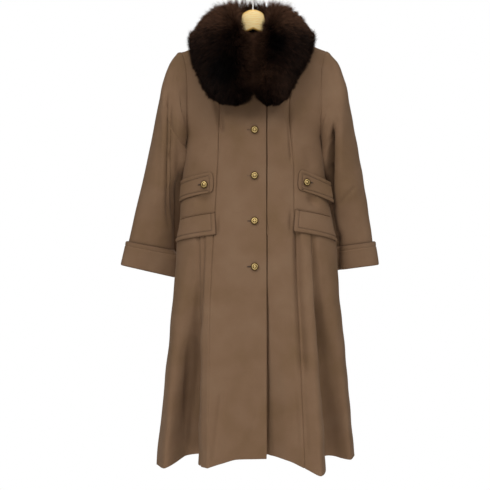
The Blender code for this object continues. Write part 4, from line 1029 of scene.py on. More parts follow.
def wool_material():
    """Wool gabardine: a steep twill, lightly milled, so matt, with a soft nap, and painted shade along edges
    for the shadow in the gaps beside them.
    """
    material, tree, shader = new_material("Wool gabardine, woven and milled")
    flat = add_node(tree, "ShaderNodeUVMap", {"uv_map": "cloth"}).outputs["UV"]
    place = add_node(tree, "ShaderNodeTexCoord").outputs["Object"]
    turned_cloth = add_node(tree, "ShaderNodeMapping", None, {"Vector": flat, "Rotation": (0, 0, TWILL_TURN)})
    twill = add_node(
        tree,
        "ShaderNodeTexWave",
        {"wave_type": "BANDS", "bands_direction": "X"},
        {
            "Vector": turned_cloth.outputs["Vector"],
            "Scale": WAVE_PERIOD / TWILL_PITCH,
            "Distortion": 1.2,
            "Detail": 1.0,
            "Detail Scale": 3.0,
        },
    )
    values = {"Vector": place, "Scale": 1 / NAP_SIZE, "Detail": 2.0}
    nap = add_node(tree, "ShaderNodeTexNoise", None, values).outputs["Fac"]
    values = {"Vector": place, "Scale": 1 / CLOUD_SIZE, "Detail": 3.0}
    clouds = add_node(tree, "ShaderNodeTexNoise", None, values).outputs["Fac"]
    stops = [(0.30, "#74593F"), (0.52, "#7B5F47"), (0.74, "#80654D")]
    base = add_node(tree, "ShaderNodeValToRGB", None, {"Fac": clouds}, stops).outputs["Color"]
    stops = [(0.25, "#C9C9C9"), (0.75, "#FFFFFF")]
    fleck = add_node(tree, "ShaderNodeValToRGB", None, {"Fac": nap}, stops).outputs["Color"]
    colour = add_node(tree, "ShaderNodeMix", MULTIPLIED, {0: 0.35, 6: base, 7: fleck}).outputs[2]
    # Painted shade: darker cloth along the edges of tabs, flaps and cuffs, for the shadow in the gap beside
    # them
    painted_edge_shade = add_node(tree, "ShaderNodeAttribute", {"attribute_name": "painted_edge_shade"}).outputs["Fac"]
    edges = add_node(tree, "ShaderNodeMix", MULTIPLIED, {0: painted_edge_shade, 6: colour, 7: srgb("#8E7F78")})
    height = add_node(
        tree, "ShaderNodeMath", {"operation": "MULTIPLY_ADD"}, {0: nap, 1: 0.8, 2: twill.outputs["Fac"]}
    )
    values = {"Height": height.outputs["Value"], "Strength": 0.35, "Distance": 0.00035}
    bump = add_node(tree, "ShaderNodeBump", None, values)
    values = {
        "Base Color": edges.outputs[2],
        "Normal": bump.outputs["Normal"],
        "Roughness": 0.86,
        "Specular IOR Level": 0.28,
        "Sheen Weight": 0.10,
        "Sheen Roughness": 0.5,
        "Sheen Tint": srgb("#C9B39A"),
    }
    fill(tree, shader, values)
    return material


def thread_material(name, code):
    """Twisted polyester thread: a little glossier than the wool, with its twist as fine slanting lines."""
    material, tree, shader = new_material(name)
    place = add_node(tree, "ShaderNodeTexCoord").outputs["Object"]
    values = {"Vector": place, "Scale": 1 / TWIST_SIZE, "Detail": 1.0}
    twist = add_node(tree, "ShaderNodeTexNoise", None, values).outputs["Fac"]
    stops = [(0.3, "#B8B8B8"), (0.7, "#FFFFFF")]
    light = add_node(tree, "ShaderNodeValToRGB", None, {"Fac": twist}, stops).outputs["Color"]
    colour = add_node(tree, "ShaderNodeMix", MULTIPLIED, {0: 0.6, 6: srgb(code), 7: light})
    fill(tree, shader, {"Base Color": colour.outputs[2], "Roughness": 0.6})
    return material


def fur_material():
    """Long fur, dyed dark brown: nearly black at the skin, warm brown and a little glossy at the tips."""
    material, tree, shader = new_material("Long haired fur, dyed")
    tone = add_node(tree, "ShaderNodeAttribute", {"attribute_name": "tone"}).outputs["Fac"]
    stops = [(0.1, "#020101"), (0.4, "#0C0604"), (0.62, "#22150F"), (0.82, "#3F2B20"), (1.0, "#6B4B38")]
    colour = add_node(tree, "ShaderNodeValToRGB", None, {"Fac": tone}, stops).outputs["Color"]
    fill(tree, shader, {"Base Color": colour, "Roughness": 0.62, "Specular IOR Level": 0.07})
    return material


def pelt_material():
    """The dense underfur beneath the long hairs: dark, matt and woolly."""
    material, tree, shader = new_material("Dense underfur, dyed")
    place = add_node(tree, "ShaderNodeTexCoord").outputs["Object"]
    values = {"Vector": place, "Scale": 1 / TUFT_SIZE, "Detail": 4.0}
    tufts = add_node(tree, "ShaderNodeTexNoise", None, values).outputs["Fac"]
    stops = [(0.35, "#050302"), (0.7, "#100906")]
    colour = add_node(tree, "ShaderNodeValToRGB", None, {"Fac": tufts}, stops).outputs["Color"]
    bump = add_node(tree, "ShaderNodeBump", None, {"Height": tufts, "Strength": 0.8, "Distance": 0.003})
    fill(tree, shader, {"Base Color": colour, "Normal": bump.outputs["Normal"], "Roughness": 0.95})
    return material


def brass_material(name, bright, dark, rough):
    """Brass, stamped and antiqued: soft highlights on the raised parts and darker patina in the hollows."""
    material, tree, shader = new_material(name)
    place = add_node(tree, "ShaderNodeTexCoord").outputs["Object"]
    values = {"Vector": place, "Scale": 1 / PATINA_SIZE, "Detail": 4.0}
    patina = add_node(tree, "ShaderNodeTexNoise", None, values).outputs["Fac"]
    stops = [(0.35, dark), (0.65, bright)]
    colour = add_node(tree, "ShaderNodeValToRGB", None, {"Fac": patina}, stops).outputs["Color"]
    fill(tree, shader, {"Base Color": colour, "Metallic": 1.0, "Roughness": rough})
    return material


def wood_material(name, dark, middle, light):
    """Schima wood, varnished: pale yellow, golden on its rounded edges, with fine grain and a soft gloss."""
    material, tree, shader = new_material(name)
    place = add_node(tree, "ShaderNodeTexCoord").outputs["Object"]
    values = {"Vector": place, "Rotation": (0, GRAIN_TURN, 0), "Scale": GRAIN_SCALE}
    stretched = add_node(tree, "ShaderNodeMapping", None, values).outputs["Vector"]
    values = {"Vector": stretched, "Scale": 1.0, "Detail": 5.0}
    grain = add_node(tree, "ShaderNodeTexNoise", None, values).outputs["Fac"]
    stops = [(0.28, dark), (0.50, middle), (0.72, light)]
    colour = add_node(tree, "ShaderNodeValToRGB", None, {"Fac": grain}, stops).outputs["Color"]
    bump = add_node(tree, "ShaderNodeBump", None, {"Height": grain, "Strength": 0.15, "Distance": 0.0003})
    values = {
        "Base Color": colour,
        "Normal": bump.outputs["Normal"],
        "Roughness": 0.38,
        "Coat Weight": 0.3,
        "Coat Roughness": 0.2,
    }
    fill(tree, shader, values)
    return material


def steel_material():
    """Drawn steel wire, nickel plated: bright, with faint marks along its length."""
    material, tree, shader = new_material("Steel wire, drawn and plated")
    place = add_node(tree, "ShaderNodeTexCoord").outputs["Object"]
    values = {"Vector": place, "Scale": 1 / MARK_SIZE, "Detail": 2.0}
    marks = add_node(tree, "ShaderNodeTexNoise", None, values).outputs["Fac"]
    stops = [(0.3, "#96938F"), (0.7, "#ACA8A4")]
    colour = add_node(tree, "ShaderNodeValToRGB", None, {"Fac": marks}, stops).outputs["Color"]
    fill(tree, shader, {"Base Color": colour, "Metallic": 1.0, "Roughness": 0.28})
    return material


# The coat's cloth


def make_body(grids, wool):
    """The six panels of the body, with seams turned in and soft free edges at the fronts and the hem."""
    made = {}
    for panel, points in grids.items():
        outward = grid_directions(points)
        surface = creased_panel(points, outward, panel)
        surface[ROWS_BELOW + ROWS_ABOVE :] = points[ROWS_BELOW + ROWS_ABOVE :]
        first = FREE_ROLL if panel == "front_right" else SEAM_ROLL
        last = FREE_ROLL if panel == "front_left" else SEAM_ROLL
        surface = rolled(surface, outward, first, last)
        surface = rolled_rows(surface, grid_directions(surface), FREE_ROLL, None)
        thing = sheet_mesh(f"{panel}_cloth", surface, wool)
        on_part(thing, "wool", panel)
        made[panel] = thing
    return made


def make_sleeve(grids, side, wool):
    """A set-in sleeve, its seam edge turned in at the armhole."""
    rings = sleeve_points(grids, side, np.linspace(0, 1, SLEEVE_STEPS))
    loop = armhole_loop(grids, side)
    rings = np.concatenate([(loop + unit(rings[0] - loop) * SEAM_GAP)[None], rings])
    outward = tube_directions(rings)
    surface = creased_sleeve(rings, outward, side)
    surface = rolled_rows(surface, outward, SEAM_ROLL, FREE_ROLL)
    if side == "left":
        surface = surface[:, ::-1]
    name = f"sleeve_{side}"
    thing = sheet_mesh(f"{name}_cloth", surface[::-1], wool, closed=True)
    on_part(thing, "wool", name)


def make_cuff(grids, side, wool, thread):
    """The sleeve's turned back end, with a row of stitches below its free edge."""
    rows = np.union1d(np.linspace(0, 1, CUFF_STEPS), np.linspace(0, CUFF_CLOSE_ROWS, CUFF_STEPS))
    down = rows[:, None, None]
    sleeve = sleeve_points(grids, side, CUFF_TOP + (1 - CUFF_TOP) * rows)
    directions = tube_directions(sleeve)
    off = CUFF_TOP_OFF + (CUFF_BOTTOM_OFF - CUFF_TOP_OFF) * down + CLOTH
    outer = sleeve + directions * off
    run = np.linalg.norm(np.diff(outer, axis=0), axis=-1).mean(axis=1)
    from_top = np.concatenate([[0], np.cumsum(run)])[:, None] + np.zeros(outer.shape[:2])
    surface = grooved(creased_sleeve(outer, directions, side), directions, from_top - TOPSTITCH_INSET)
    line, out = line_at(surface, directions, from_top[:, 0], TOPSTITCH_INSET)
    surface = rolled_rows(surface, directions, APPLIED_ROLL, FREE_ROLL)
    if side == "left":
        surface = surface[:, ::-1]
    name = f"cuff_{side}"
    # Painted shade along the cuff's top edge, for the shadow in the gap above it
    thing = sheet_mesh(f"{name}_cloth", surface[::-1], wool, closed=True, painted_edge_shade=["last row"])
    on_part(thing, "wool", name)
    seam = stitches(f"cuff_{side}_stitches", [stitch_row(line, out, closed=True)], thread)
    on_part(seam, "wool")


def line_at(points, outward, distances, distance):
    """The line across a grid's rows at a distance, and its outward directions."""
    index = int(np.clip(np.searchsorted(distances, distance), 1, len(distances) - 1))
    share = (distance - distances[index - 1]) / (distances[index] - distances[index - 1])
    line = points[index - 1] * (1 - share) + points[index] * share
    out = unit(outward[index - 1] * (1 - share) + outward[index] * share)
    return line, out


def front_patch(side, corners, share, down, rounding):
    """Points and outward directions of a four-sided patch on the front, at shares of its width and height."""
    sign = SIDES[side]
    inner_top, outer_top, outer_bottom, inner_bottom = corners
    share, down = share[None, :], down[:, None]
    from_middle = np.abs(2 * down - 1) ** TAB_ROUNDING_POWER * TAB_ROUNDING_FULL
    round_off = rounding * (1 - (1 - from_middle) ** (1 / TAB_ROUNDING_POWER))
    inner_across = inner_top.across + (inner_bottom.across - inner_top.across) * down + round_off
    inner_height = inner_top.height + (inner_bottom.height - inner_top.height) * down
    outer_across = outer_top.across + (outer_bottom.across - outer_top.across) * down
    outer_height = outer_top.height + (outer_bottom.height - outer_top.height) * down
    height = inner_height + (outer_height - inner_height) * share
    inner_turn = front_turn(sign * inner_across, inner_height)
    outer_turn = front_turn(sign * outer_across, outer_height)
    turn = inner_turn + (outer_turn - inner_turn) * share
    points = body_point(turn, height)
    nearby = 0.001
    around = body_point(turn + nearby, height) - body_point(turn - nearby, height)
    above = body_point(turn, height + nearby) - body_point(turn, height - nearby)
    return points, unit(np.cross(around, above))


APPLIED_SHARES = np.linspace(0, 1, 57)
FLAP_DOWN = np.union1d(np.linspace(0, 0.10, 15), np.linspace(0.10, 1, 33))  # closer at the seam along its top
TAB_DOWN = np.linspace(0, 1, 37)
FLAP_SEAM = (0.0026, 0.0011, 0.0026)  # a flap's seam: how far below its top edge, half its width, its depth


def edge_distances(points):
    """How far each point of a patch lies from its inner, top, outer and bottom edges, over the surface."""
    from_inner, from_top = run_along(points, 1), run_along(points)
    return from_inner, from_top, from_inner[:, -1:] - from_inner, from_top[-1:] - from_top


def make_applied(name, side, inner, outward, stitched, wool, thread):
    """A flap or tab: two layers of cloth with soft edges, pressed in along its rows of stitches."""
    outer = inner + outward * APPLIED_THICK
    from_inner, from_top, from_outer, from_bottom = edge_distances(outer)
    distances = {"inner": from_inner, "top": from_top, "outer": from_outer, "bottom": from_bottom}
    nearest = np.min([distances[edge] for edge in stitched], axis=0)
    surface = grooved(outer, outward, nearest - TOPSTITCH_INSET)
    if "top" not in stitched:
        place, half, depth = FLAP_SEAM
        surface = surface - outward * (depth * np.exp(-(((from_top - place) / half) ** 2)))[..., None]
    rise, spread = CUSHION
    cushion = rise * np.exp(-(((nearest - TOPSTITCH_INSET / 2) / spread) ** 2))
    surface = surface + outward * cushion[..., None]
    order = 1 if side == "right" else -1
    surface = rolled(surface[::-1, ::order], outward[::-1, ::order], APPLIED_ROLL, APPLIED_ROLL)
    top_roll = APPLIED_ROLL if "top" in stitched else WELT_ROLL
    surface = rolled_rows(surface, grid_directions(surface), APPLIED_ROLL, top_roll)
    # Painted shade along the inner edge, and on a tab along its top and bottom too, for the shadow in the gap
    # under them
    painted_edge_shade = ["first column" if side == "right" else "last column"]
    if "top" in stitched:
        painted_edge_shade += ["first row", "last row"]
    thing = sheet_mesh(f"{name}_cloth", surface, wool, thick=APPLIED_THICK, painted_edge_shade=painted_edge_shade)
    on_part(thing, "wool", name)
    seam = stitches(f"{name}_stitches", stitched_lines(outer, outward, distances, stitched), thread)
    on_part(seam, "wool")
    return thing


def stitched_lines(points, outward, distances, stitched):
    """Rows of stitches a little inside each stitched edge, which stop where they meet."""
    rows = []
    inset = TOPSTITCH_INSET
    for edge in stitched:
        along_rows = edge in ("top", "bottom")
        grid = points if along_rows else points.swapaxes(0, 1)
        out = outward if along_rows else outward.swapaxes(0, 1)
        far = distances[edge] if along_rows else distances[edge].swapaxes(0, 1)
        line, lifts = [], []
        for column in range(grid.shape[1]):
            order = np.argsort(far[:, column])
            spot, lift = [], []
            for axis in range(3):
                spot.append(np.interp(inset, far[order, column], grid[order, column, axis]))
                lift.append(np.interp(inset, far[order, column], out[order, column, axis]))
            line.append(spot)
            lifts.append(lift)
        line, lifts = np.array(line), unit(np.array(lifts))
        keep = np.ones(len(line), bool)
        for other in stitched:
            if other == edge or {other, edge} in ({"top", "bottom"}, {"inner", "outer"}):
                continue
            ends = line[0] if other in ("inner", "top") else line[-1]
            keep &= np.linalg.norm(line - ends, axis=1) >= inset * MEETING_SHARE
        rows.append(stitch_row(line[keep], lifts[keep]))
    return rows


def make_flap(side, wool, thread):
    points, outward = front_patch(side, POCKET_FLAPS[side], APPLIED_SHARES, FLAP_DOWN, 0)
    loose = FLAP_DOWN[:, None, None]
    inner = points + outward * (APPLIED_GAP + FLAP_STAND_OFF * loose**2)
    make_applied(f"pocket_flap_{side}", side, inner, outward, ("inner", "bottom"), wool, thread)


def make_tab(side, wool, thread):
    points, outward = front_patch(side, WAIST_TABS[side], APPLIED_SHARES, TAB_DOWN, TAB_ROUNDING)
    reach = APPLIED_SHARES[None, :, None]
    inner = points + outward * (APPLIED_GAP + TAB_STAND_OFF[side] * reach**3)
    return make_applied(f"tab_{side}", side, inner, outward, ("inner", "top", "bottom"), wool, thread)


# Buttons


# How far each ring of the button's face lies in from the last, how it rises, and its metal (0 dark, 1 gold).
# The dark metal is blackening in the grooves, and painted shade on the outer rim for the button's shadowed
# outline.
ButtonRing = namedtuple("ButtonRing", "inset rise metal")
BUTTON_RINGS = [
    ButtonRing(0.0012, 0.0004, 0),
    ButtonRing(0.0007, -0.0004, 0),
    ButtonRing(0.0004, 0.0008, 1),
    ButtonRing(0.0020, 0.0003, 1),
    ButtonRing(0.0003, -0.0009, 0),
    ButtonRing(0.0013, 0.0000, 0),
    ButtonRing(0.0003, 0.0009, 1),
    ButtonRing(0.0014, 0.0004, 1),
]
SHANK_RADIUS = 0.0024
SHANK_SHARE = 0.375  # of the button's height
BUTTON_SIDES = 40
BUTTON_DISC = (0.35, 0.55)  # the disc under the face: its thickness and its middle, as shares of that height
BUTTON_EDGE = 0.00022
BUTTON_EDGE_ANGLE = 25 * DEGREE
BUTTON_EDGE_SEGMENTS = 2
LEVEL_FACE = 0.9  # a face whose outward direction is at least this share up, or down


def select_faces(thing, chosen):
    """Selects the faces of a piece in edit mode for which a test of the face holds."""
    bpy.ops.mesh.select_mode(type="FACE")
    bpy.ops.mesh.select_all(action="DESELECT")
    work = bmesh.from_edit_mesh(thing.data)
    for face in work.faces:
        face.select_set(bool(chosen(face)))
    bmesh.update_edit_mesh(thing.data)


def edited(thing):
    """Puts one piece alone in edit mode."""
    select_only(thing)
    bpy.ops.object.mode_set(mode="EDIT")


def make_button_form(gold, rim):
    """One button at the origin, facing up +Z: a dark rim, partly painted shade, a gold ring and a boss, on a
    short shank.
    """
    thick, middle = BUTTON_DISC
    bpy.ops.object.select_all(action="DESELECT")
    bpy.ops.mesh.primitive_cylinder_add(
        vertices=BUTTON_SIDES,
        radius=BUTTON_RADIUS,
        depth=BUTTON_HEIGHT * thick,
        location=(0, 0, BUTTON_HEIGHT * middle),
    )
    thing = bpy.context.active_object
    bpy.ops.object.transform_apply(location=True, rotation=True, scale=True)
    thing.data.materials.append(rim)
    thing.data.materials.append(gold)
    edited(thing)
    select_faces(thing, lambda face: face.normal.z > LEVEL_FACE)
    for ring in BUTTON_RINGS:
        thing.active_material_index = ring.metal
        bpy.ops.object.material_slot_assign()
        bpy.ops.mesh.inset(thickness=ring.inset, depth=0)
        bpy.ops.transform.translate(value=(0, 0, ring.rise))
    select_faces(thing, lambda face: face.normal.z < -LEVEL_FACE)
    bpy.ops.mesh.inset(thickness=BUTTON_RADIUS - SHANK_RADIUS, depth=0)
    bpy.ops.transform.translate(value=(0, 0, -BUTTON_HEIGHT * SHANK_SHARE))
    bpy.ops.object.mode_set(mode="OBJECT")
    bevel = thing.modifiers.new("Soft edges", "BEVEL")
    bevel.width = BUTTON_EDGE
    bevel.segments = BUTTON_EDGE_SEGMENTS
    bevel.angle_limit = BUTTON_EDGE_ANGLE
    apply_modifiers(thing)
    thing.data.shade_smooth()
    return thing


SLIT_LENGTH = 0.0125
SLIT_HALF_WIDTH = 0.0011
SLIT_THICK = 0.0004
SLIT_SIDES = 20
SLIT_REACH = SLIT_LENGTH * 0.46  # half the length of the painted shadow in the opening, inside the ring of stitches
SLIT_OPEN = 0.6  # and half its width, as a share of the ring's
SLIT_RIM = 0.2
SLIT_LIFT = 0.0001
HOLE_STITCHES = 34
HOLE_STITCH = (0.0019, 0.00034)  # the length and radius of each
HOLE_START = BUTTON_RADIUS * 0.55  # how far from the button's middle the buttonhole starts
HOLE_SQUARE = 1.35  # above 1 the ring has straight ends
HOLE_SLANT = 0.5  # how much the stitches slant along the hole
HOLE_LIFT = 0.00015


def make_slit_form(dark):
    """The painted shadow in a buttonhole's opening, at the origin, along X and facing +Z: a thin dark oval,
    sunk inside.
    """
    bpy.ops.object.select_all(action="DESELECT")
    bpy.ops.mesh.primitive_cylinder_add(vertices=SLIT_SIDES, radius=SLIT_REACH, depth=SLIT_THICK)
    thing = bpy.context.active_object
    thing.data.materials.append(dark)
    edited(thing)
    bpy.ops.mesh.select_all(action="SELECT")
    bpy.ops.transform.resize(value=(1, SLIT_HALF_WIDTH * SLIT_OPEN / SLIT_REACH, 1))
    select_faces(thing, lambda face: face.normal.z > LEVEL_FACE)
    bpy.ops.mesh.inset(thickness=SLIT_HALF_WIDTH * SLIT_RIM, depth=0)
    bpy.ops.transform.translate(value=(0, 0, -SLIT_THICK / 2))
    bpy.ops.object.mode_set(mode="OBJECT")
    return thing


def place_button(form, name, point, outward):
    """A copy of the button, standing square on the cloth, with its place in its mesh."""
    mesh = form.data.copy()
    turn = Vector(outward).to_track_quat("Z", "Y").to_matrix().to_4x4()
    mesh.transform(Matrix.Translation(Vector(point)) @ turn)
    return on_part(linked(f"{name}_brass", mesh), "button", name)


def surface_hit(tree, across, height):
    """Where a line from the front meets the cloth, and the cloth's outward direction there."""
    point, outward, _, _ = tree.ray_cast(Vector((across, -1, height)), Vector((0, 1, 0)))
    return np.array(point), np.array(outward)


def tree_of(thing):
    mesh = thing.data
    return BVHTree.FromPolygons([v.co for v in mesh.vertices], [tuple(p.vertices) for p in mesh.polygons])


def buttonhole(name, slit, point, outward, direction, thread):
    """A buttonhole: close satin stitches round a narrow dark slit, from the button outward."""
    aside = unit(np.cross(outward, direction))
    turns = np.linspace(0, 2 * math.pi, HOLE_STITCHES, endpoint=False)
    centre = point + direction * (HOLE_START + SLIT_LENGTH / 2)
    reach = np.sign(np.cos(turns)) * np.minimum(np.abs(np.cos(turns)) * HOLE_SQUARE, 1) * SLIT_LENGTH / 2
    spread = np.sin(turns) * SLIT_HALF_WIDTH
    centres = centre + direction * reach[:, None] + aside * spread[:, None] + outward * HOLE_LIFT
    heading = unit(direction * np.cos(turns)[:, None] * HOLE_SLANT + aside * np.sin(turns)[:, None])
    lifts = np.repeat(outward[None], HOLE_STITCHES, axis=0)
    on_part(stitches(name, [(centres, heading, lifts)], thread, *HOLE_STITCH), "wool")
    turn = Matrix((direction, aside, outward)).transposed().to_4x4()
    mesh = slit.data.copy()
    mesh.transform(Matrix.Translation(Vector(centre + outward * SLIT_LIFT)) @ turn)
    on_part(linked(f"{name}_slit", mesh), "wool")


# The hanger


WOOD_EDGE = 0.0042
WOOD_EDGE_SEGMENTS = 4
WOOD_SMOOTH = 40 * DEGREE
SLOPE_SHARE = 1.12  # straight down, a clearance from the sloping shoulder is this much longer
ARCH_TOP = -0.0700  # the arch at the middle of the board's top edge: its height, and how it falls away
ARCH_FALL = 15.0
ARCH_SIDE = (0.0262, 0.0090)  # where its steep sides start and how wide they are
ARCH_DROP = 0.024
ARCH_END = 0.072  # from here on the board lies under the coat's shoulders


def board_top(across):
    """The board's top edge: an arch with steep sides at the middle, then under the coat's shoulders."""
    under_cloth = shoulder_height(across) - (CLOTH + HANGER_CLEAR) * SLOPE_SHARE
    far = np.abs(across)
    start, wide = ARCH_SIDE
    arch = ARCH_TOP - ARCH_FALL * np.minimum(far, start + wide) ** 2 - ARCH_DROP * eased((far - start) / wide)
    blend = eased((far - start - wide) / (ARCH_END - start - wide))
    return arch * (1 - blend) + under_cloth * blend


def board_underside(across):
    return from_table(HANGER_UNDERSIDE, "height", np.abs(across), "across") + SHOULDER_TILT * across


def make_hanger(wood, edge):
    """The flat wooden hanger: a grid drawn to the board's outline, given its thickness and rounded edges."""
    bpy.ops.object.select_all(action="DESELECT")
    bpy.ops.mesh.primitive_grid_add(
        x_subdivisions=HANGER_COLUMNS,
        y_subdivisions=1,
        size=2 * HANGER_HALF_WIDTH,
        location=(0, HANGER_THICK / 2, 0),
        rotation=(math.pi / 2, 0, 0),
    )
    thing = bpy.context.active_object
    thing.name = "hanger_board"
    bpy.ops.object.transform_apply(location=True, rotation=True, scale=True)
    thing.data.materials.append(wood)
    thing.data.materials.append(edge)
    edited(thing)
    bpy.ops.mesh.select_mode(type="VERT")
    work = bmesh.from_edit_mesh(thing.data)
    for vertex in list(work.verts):
        across = np.array(vertex.co.x)
        target = board_top(across) if vertex.co.z > 0 else board_underside(across)
        bpy.ops.mesh.select_all(action="DESELECT")
        vertex.select_set(True)
        bpy.ops.transform.translate(value=(0, 0, float(target) - vertex.co.z))
    bpy.ops.mesh.select_all(action="SELECT")
    bpy.ops.mesh.extrude_region_move(TRANSFORM_OT_translate={"value": (0, -HANGER_THICK, 0)})
    bpy.ops.mesh.select_all(action="SELECT")
    bpy.ops.mesh.normals_make_consistent(inside=False)
    bpy.ops.mesh.select_all(action="DESELECT")
    bpy.ops.mesh.select_mode(type="EDGE")
    bpy.ops.mesh.edges_select_sharp(sharpness=SHARP_EDGE)
    bpy.ops.mesh.bevel(offset=WOOD_EDGE, segments=WOOD_EDGE_SEGMENTS, material=1)
    bpy.ops.object.mode_set(mode="OBJECT")
    bpy.ops.object.shade_smooth_by_angle(angle=WOOD_SMOOTH)
    on_part(thing, "hanger_wood", "hanger_wood")


# Fur


def arch_gap(points):
    """How far points lie outside the arch that the coat and hanger make."""
    across, along, height = points[..., 0], points[..., 1], points[..., 2]
    width = half_width(across, ARMPIT) + SHOULDER_SPREAD
    depth = np.where(along < 0, level("front", ARMPIT), level("back", ARMPIT)) * section_depth(across / width)
    tall = shoulder_height(across) - ARMPIT
    deep_share = np.abs(along) / depth
    rise = np.maximum(height - ARMPIT, 0) / tall
    reach = (deep_share**ARCH_POWER + rise**ARCH_POWER) ** (1 / ARCH_POWER)
    on_along, on_height = along / reach, ARMPIT + (height - ARMPIT) / reach
    slope_along = np.sign(along) * (deep_share / reach) ** (ARCH_POWER - 1) / depth
    slope_height = (rise / reach) ** (ARCH_POWER - 1) / tall
    length = np.hypot(slope_along, slope_height)
    slope_along, slope_height = slope_along / length, slope_height / length
    gap = (along - on_along) * slope_along + (height - on_height) * slope_height
    return gap, on_along, on_height, slope_along, slope_height


def arch_clear(points):
    """Points moved out of the arch, to the fur's clearance."""
    gap, on_along, on_height, slope_along, slope_height = arch_gap(points)
    moved = points.copy()
    short = gap < COLLAR_CLEAR
    moved[..., 1] = np.where(short, on_along + slope_along * COLLAR_CLEAR, points[..., 1])
    moved[..., 2] = np.where(short, on_height + slope_height * COLLAR_CLEAR, points[..., 2])
    return moved


def collar_sections(steps, sides):
    """Rings of the fur's roll, from the wearer's right front end round the neck to the left one."""
    along = np.linspace(-1, 1, steps + 1)
    knots = [-row.along for row in COLLAR_STATIONS[:0:-1]] + [row.along for row in COLLAR_STATIONS]

    def column(name, odd):
        values = [getattr(row, name) for row in COLLAR_STATIONS]
        mirrored = [-value if odd else value for value in values[:0:-1]]
        return smooth_curve(knots, mirrored + values, along)

    upper, lower = (np.where(along < 0, *pair) for pair in zip(COLLAR_SPREAD["right"], COLLAR_SPREAD["left"]))
    start, end = COLLAR_SPREAD_CHANGE
    spread = upper + (lower - upper) * eased((np.abs(along) - start) / (end - start))
    across = column("across", True) * spread
    centre = np.stack([across, column("depth", False), column("height", False)], axis=-1)
    out = unit(np.stack([column("out_x", True), column("out_y", False), column("out_z", False)], axis=-1))
    path = unit(np.gradient(centre, axis=0))
    out = unit(out - path * (out * path).sum(axis=-1, keepdims=True))
    wide = np.cross(path, out)
    turns = np.arange(sides) * 2 * math.pi / sides
    power = 2 / COLLAR_POWER
    width_part = np.sign(np.cos(turns)) * np.abs(np.cos(turns)) ** power
    thick_part = np.sign(np.sin(turns)) * np.abs(np.sin(turns)) ** power
    half_wide = column("half_width", False) * spread
    rings = centre[:, None] + (wide * half_wide[:, None])[:, None] * width_part[None, :, None]
    rings += (out * column("half_thick", False)[:, None])[:, None] * thick_part[None, :, None]
    rings = arch_clear(rings)
    own_side = np.sign(along)[:, None]
    front = (rings[..., 1] < 0) & (own_side != 0)
    apart = own_side * np.maximum(rings[..., 0] * own_side, COLLAR_HALVES_GAP)
    rings[..., 0] = np.where(front, apart, rings[..., 0])
    return rings


def pelt_points(rings):
    """The pelt's points: the collar's form drawn in by the pelt's depth, or by less where it is thin."""
    outward = tube_directions(rings)
    centre = rings.mean(axis=1, keepdims=True)
    thick = np.maximum(((rings - centre) * outward).sum(axis=-1), PELT_LEAST)
    depth = np.minimum(PELT_DEPTH, PELT_SHARE * thick)
    return rings - outward * depth[..., None], outward, depth


def make_pelt(pelt, material):
    """The pelt as one closed skin, its ends closed by fans."""
    steps, sides = pelt.shape[:2]
    number = np.arange(steps * sides).reshape(steps, sides)
    after = np.roll(number, -1, axis=1)
    faces = np.stack([number[:-1], after[:-1], after[1:], number[1:]], axis=-1).reshape(-1, 4)
    mesh = bpy.data.meshes.new("fur_pelt")
    ends = [number[0][::-1].tolist(), number[-1].tolist()]
    mesh.from_pydata([tuple(map(float, p)) for p in pelt.reshape(-1, 3)], [], [*faces.tolist(), *ends])
    work = bmesh.new()
    work.from_mesh(mesh)
    bmesh.ops.recalc_face_normals(work, faces=work.faces)
    work.to_mesh(mesh)
    work.free()
    mesh.shade_smooth()
    mesh.materials.append(material)
    on_part(linked("fur_pelt", mesh), "fur", "fur_collar")


def cell_points(grid, step, side, down, across):
    """Points of a ring grid between its rows and columns."""
    after = (side + 1) % grid.shape[1]
    near = grid[step, side] * (1 - across) + grid[step, after] * across
    far = grid[step + 1, side] * (1 - across) + grid[step + 1, after] * across
    return near * (1 - down) + far * down


def fur_roots(rings, pelt, outward, depth, along, count, rng):
    """Random places on the pelt where hair grows, evenly by area but not where it lies on the cloth."""
    start, fade = ROOT_CLEAR
    edge = np.roll(rings, -1, axis=1) - rings
    cells = np.linalg.norm(np.cross(edge[:-1], rings[1:] - rings[:-1]), axis=-1)
    gap = arch_gap(rings)[0][:-1]
    cells = cells * eased((gap - COLLAR_CLEAR - start) / fade)
    low, high = along
    places = np.linspace(-1, 1, len(rings))[:-1, None]
    cells = cells * ((places >= low) & (places < high))
    picked = rng.choice(cells.size, size=count, p=(cells / cells.sum()).ravel())
    step, side = np.unravel_index(picked, cells.shape)
    down, across = rng.random((count, 1)), rng.random((count, 1))
    root = cell_points(pelt, step, side, down, across)
    normal = unit(cell_points(outward, step, side, down, across))
    length = cell_points(depth[..., None], step, side, down, across)
    return root, normal, length


NECK_CENTRE = np.array([-0.005, -0.02, -0.150])  # the fur is combed away from here
FUR_LAY = 0.80  # how flat the hairs lie along the pelt
SIDE_LAY = 0.30  # how much flatter they lie away from the collar's top
FUR_SAG = 0.16  # how much they hang down
FUR_STRAY = 0.10  # how much the locks stray from one another
FUR_REACH = 1.42  # the hairs' length, as a share of the pelt's depth there
COMBED = 0.5  # hairs that face back to the neck by more than this aren't combed
RIM = (-0.125, -0.088)  # heights of roots across which the fur grows longer towards the collar's top
RIM_REACH = 0.20
NAPE_REACH = 0.20  # and longer still behind the hanger
NAPE_HALF_WIDTH = 0.075
NAPE_FADE = 0.03
RIM_STRAY = 2.0  # how much more the locks stray at the collar's top
PALE_AND_LIT_TOP = (-0.200, -0.085)  # heights of tips across which the fur is paler and browner towards the collar's top: partly its own paler tips, partly painted light from above
PALE_AND_LIT_TOP_TONE = 0.70
LOCK_TONES = (-0.46, 0.40)  # how much darker and paler than the rest a lock may be at the collar's top
LOCK_TONE_LEAST = 0.3  # of that is left elsewhere
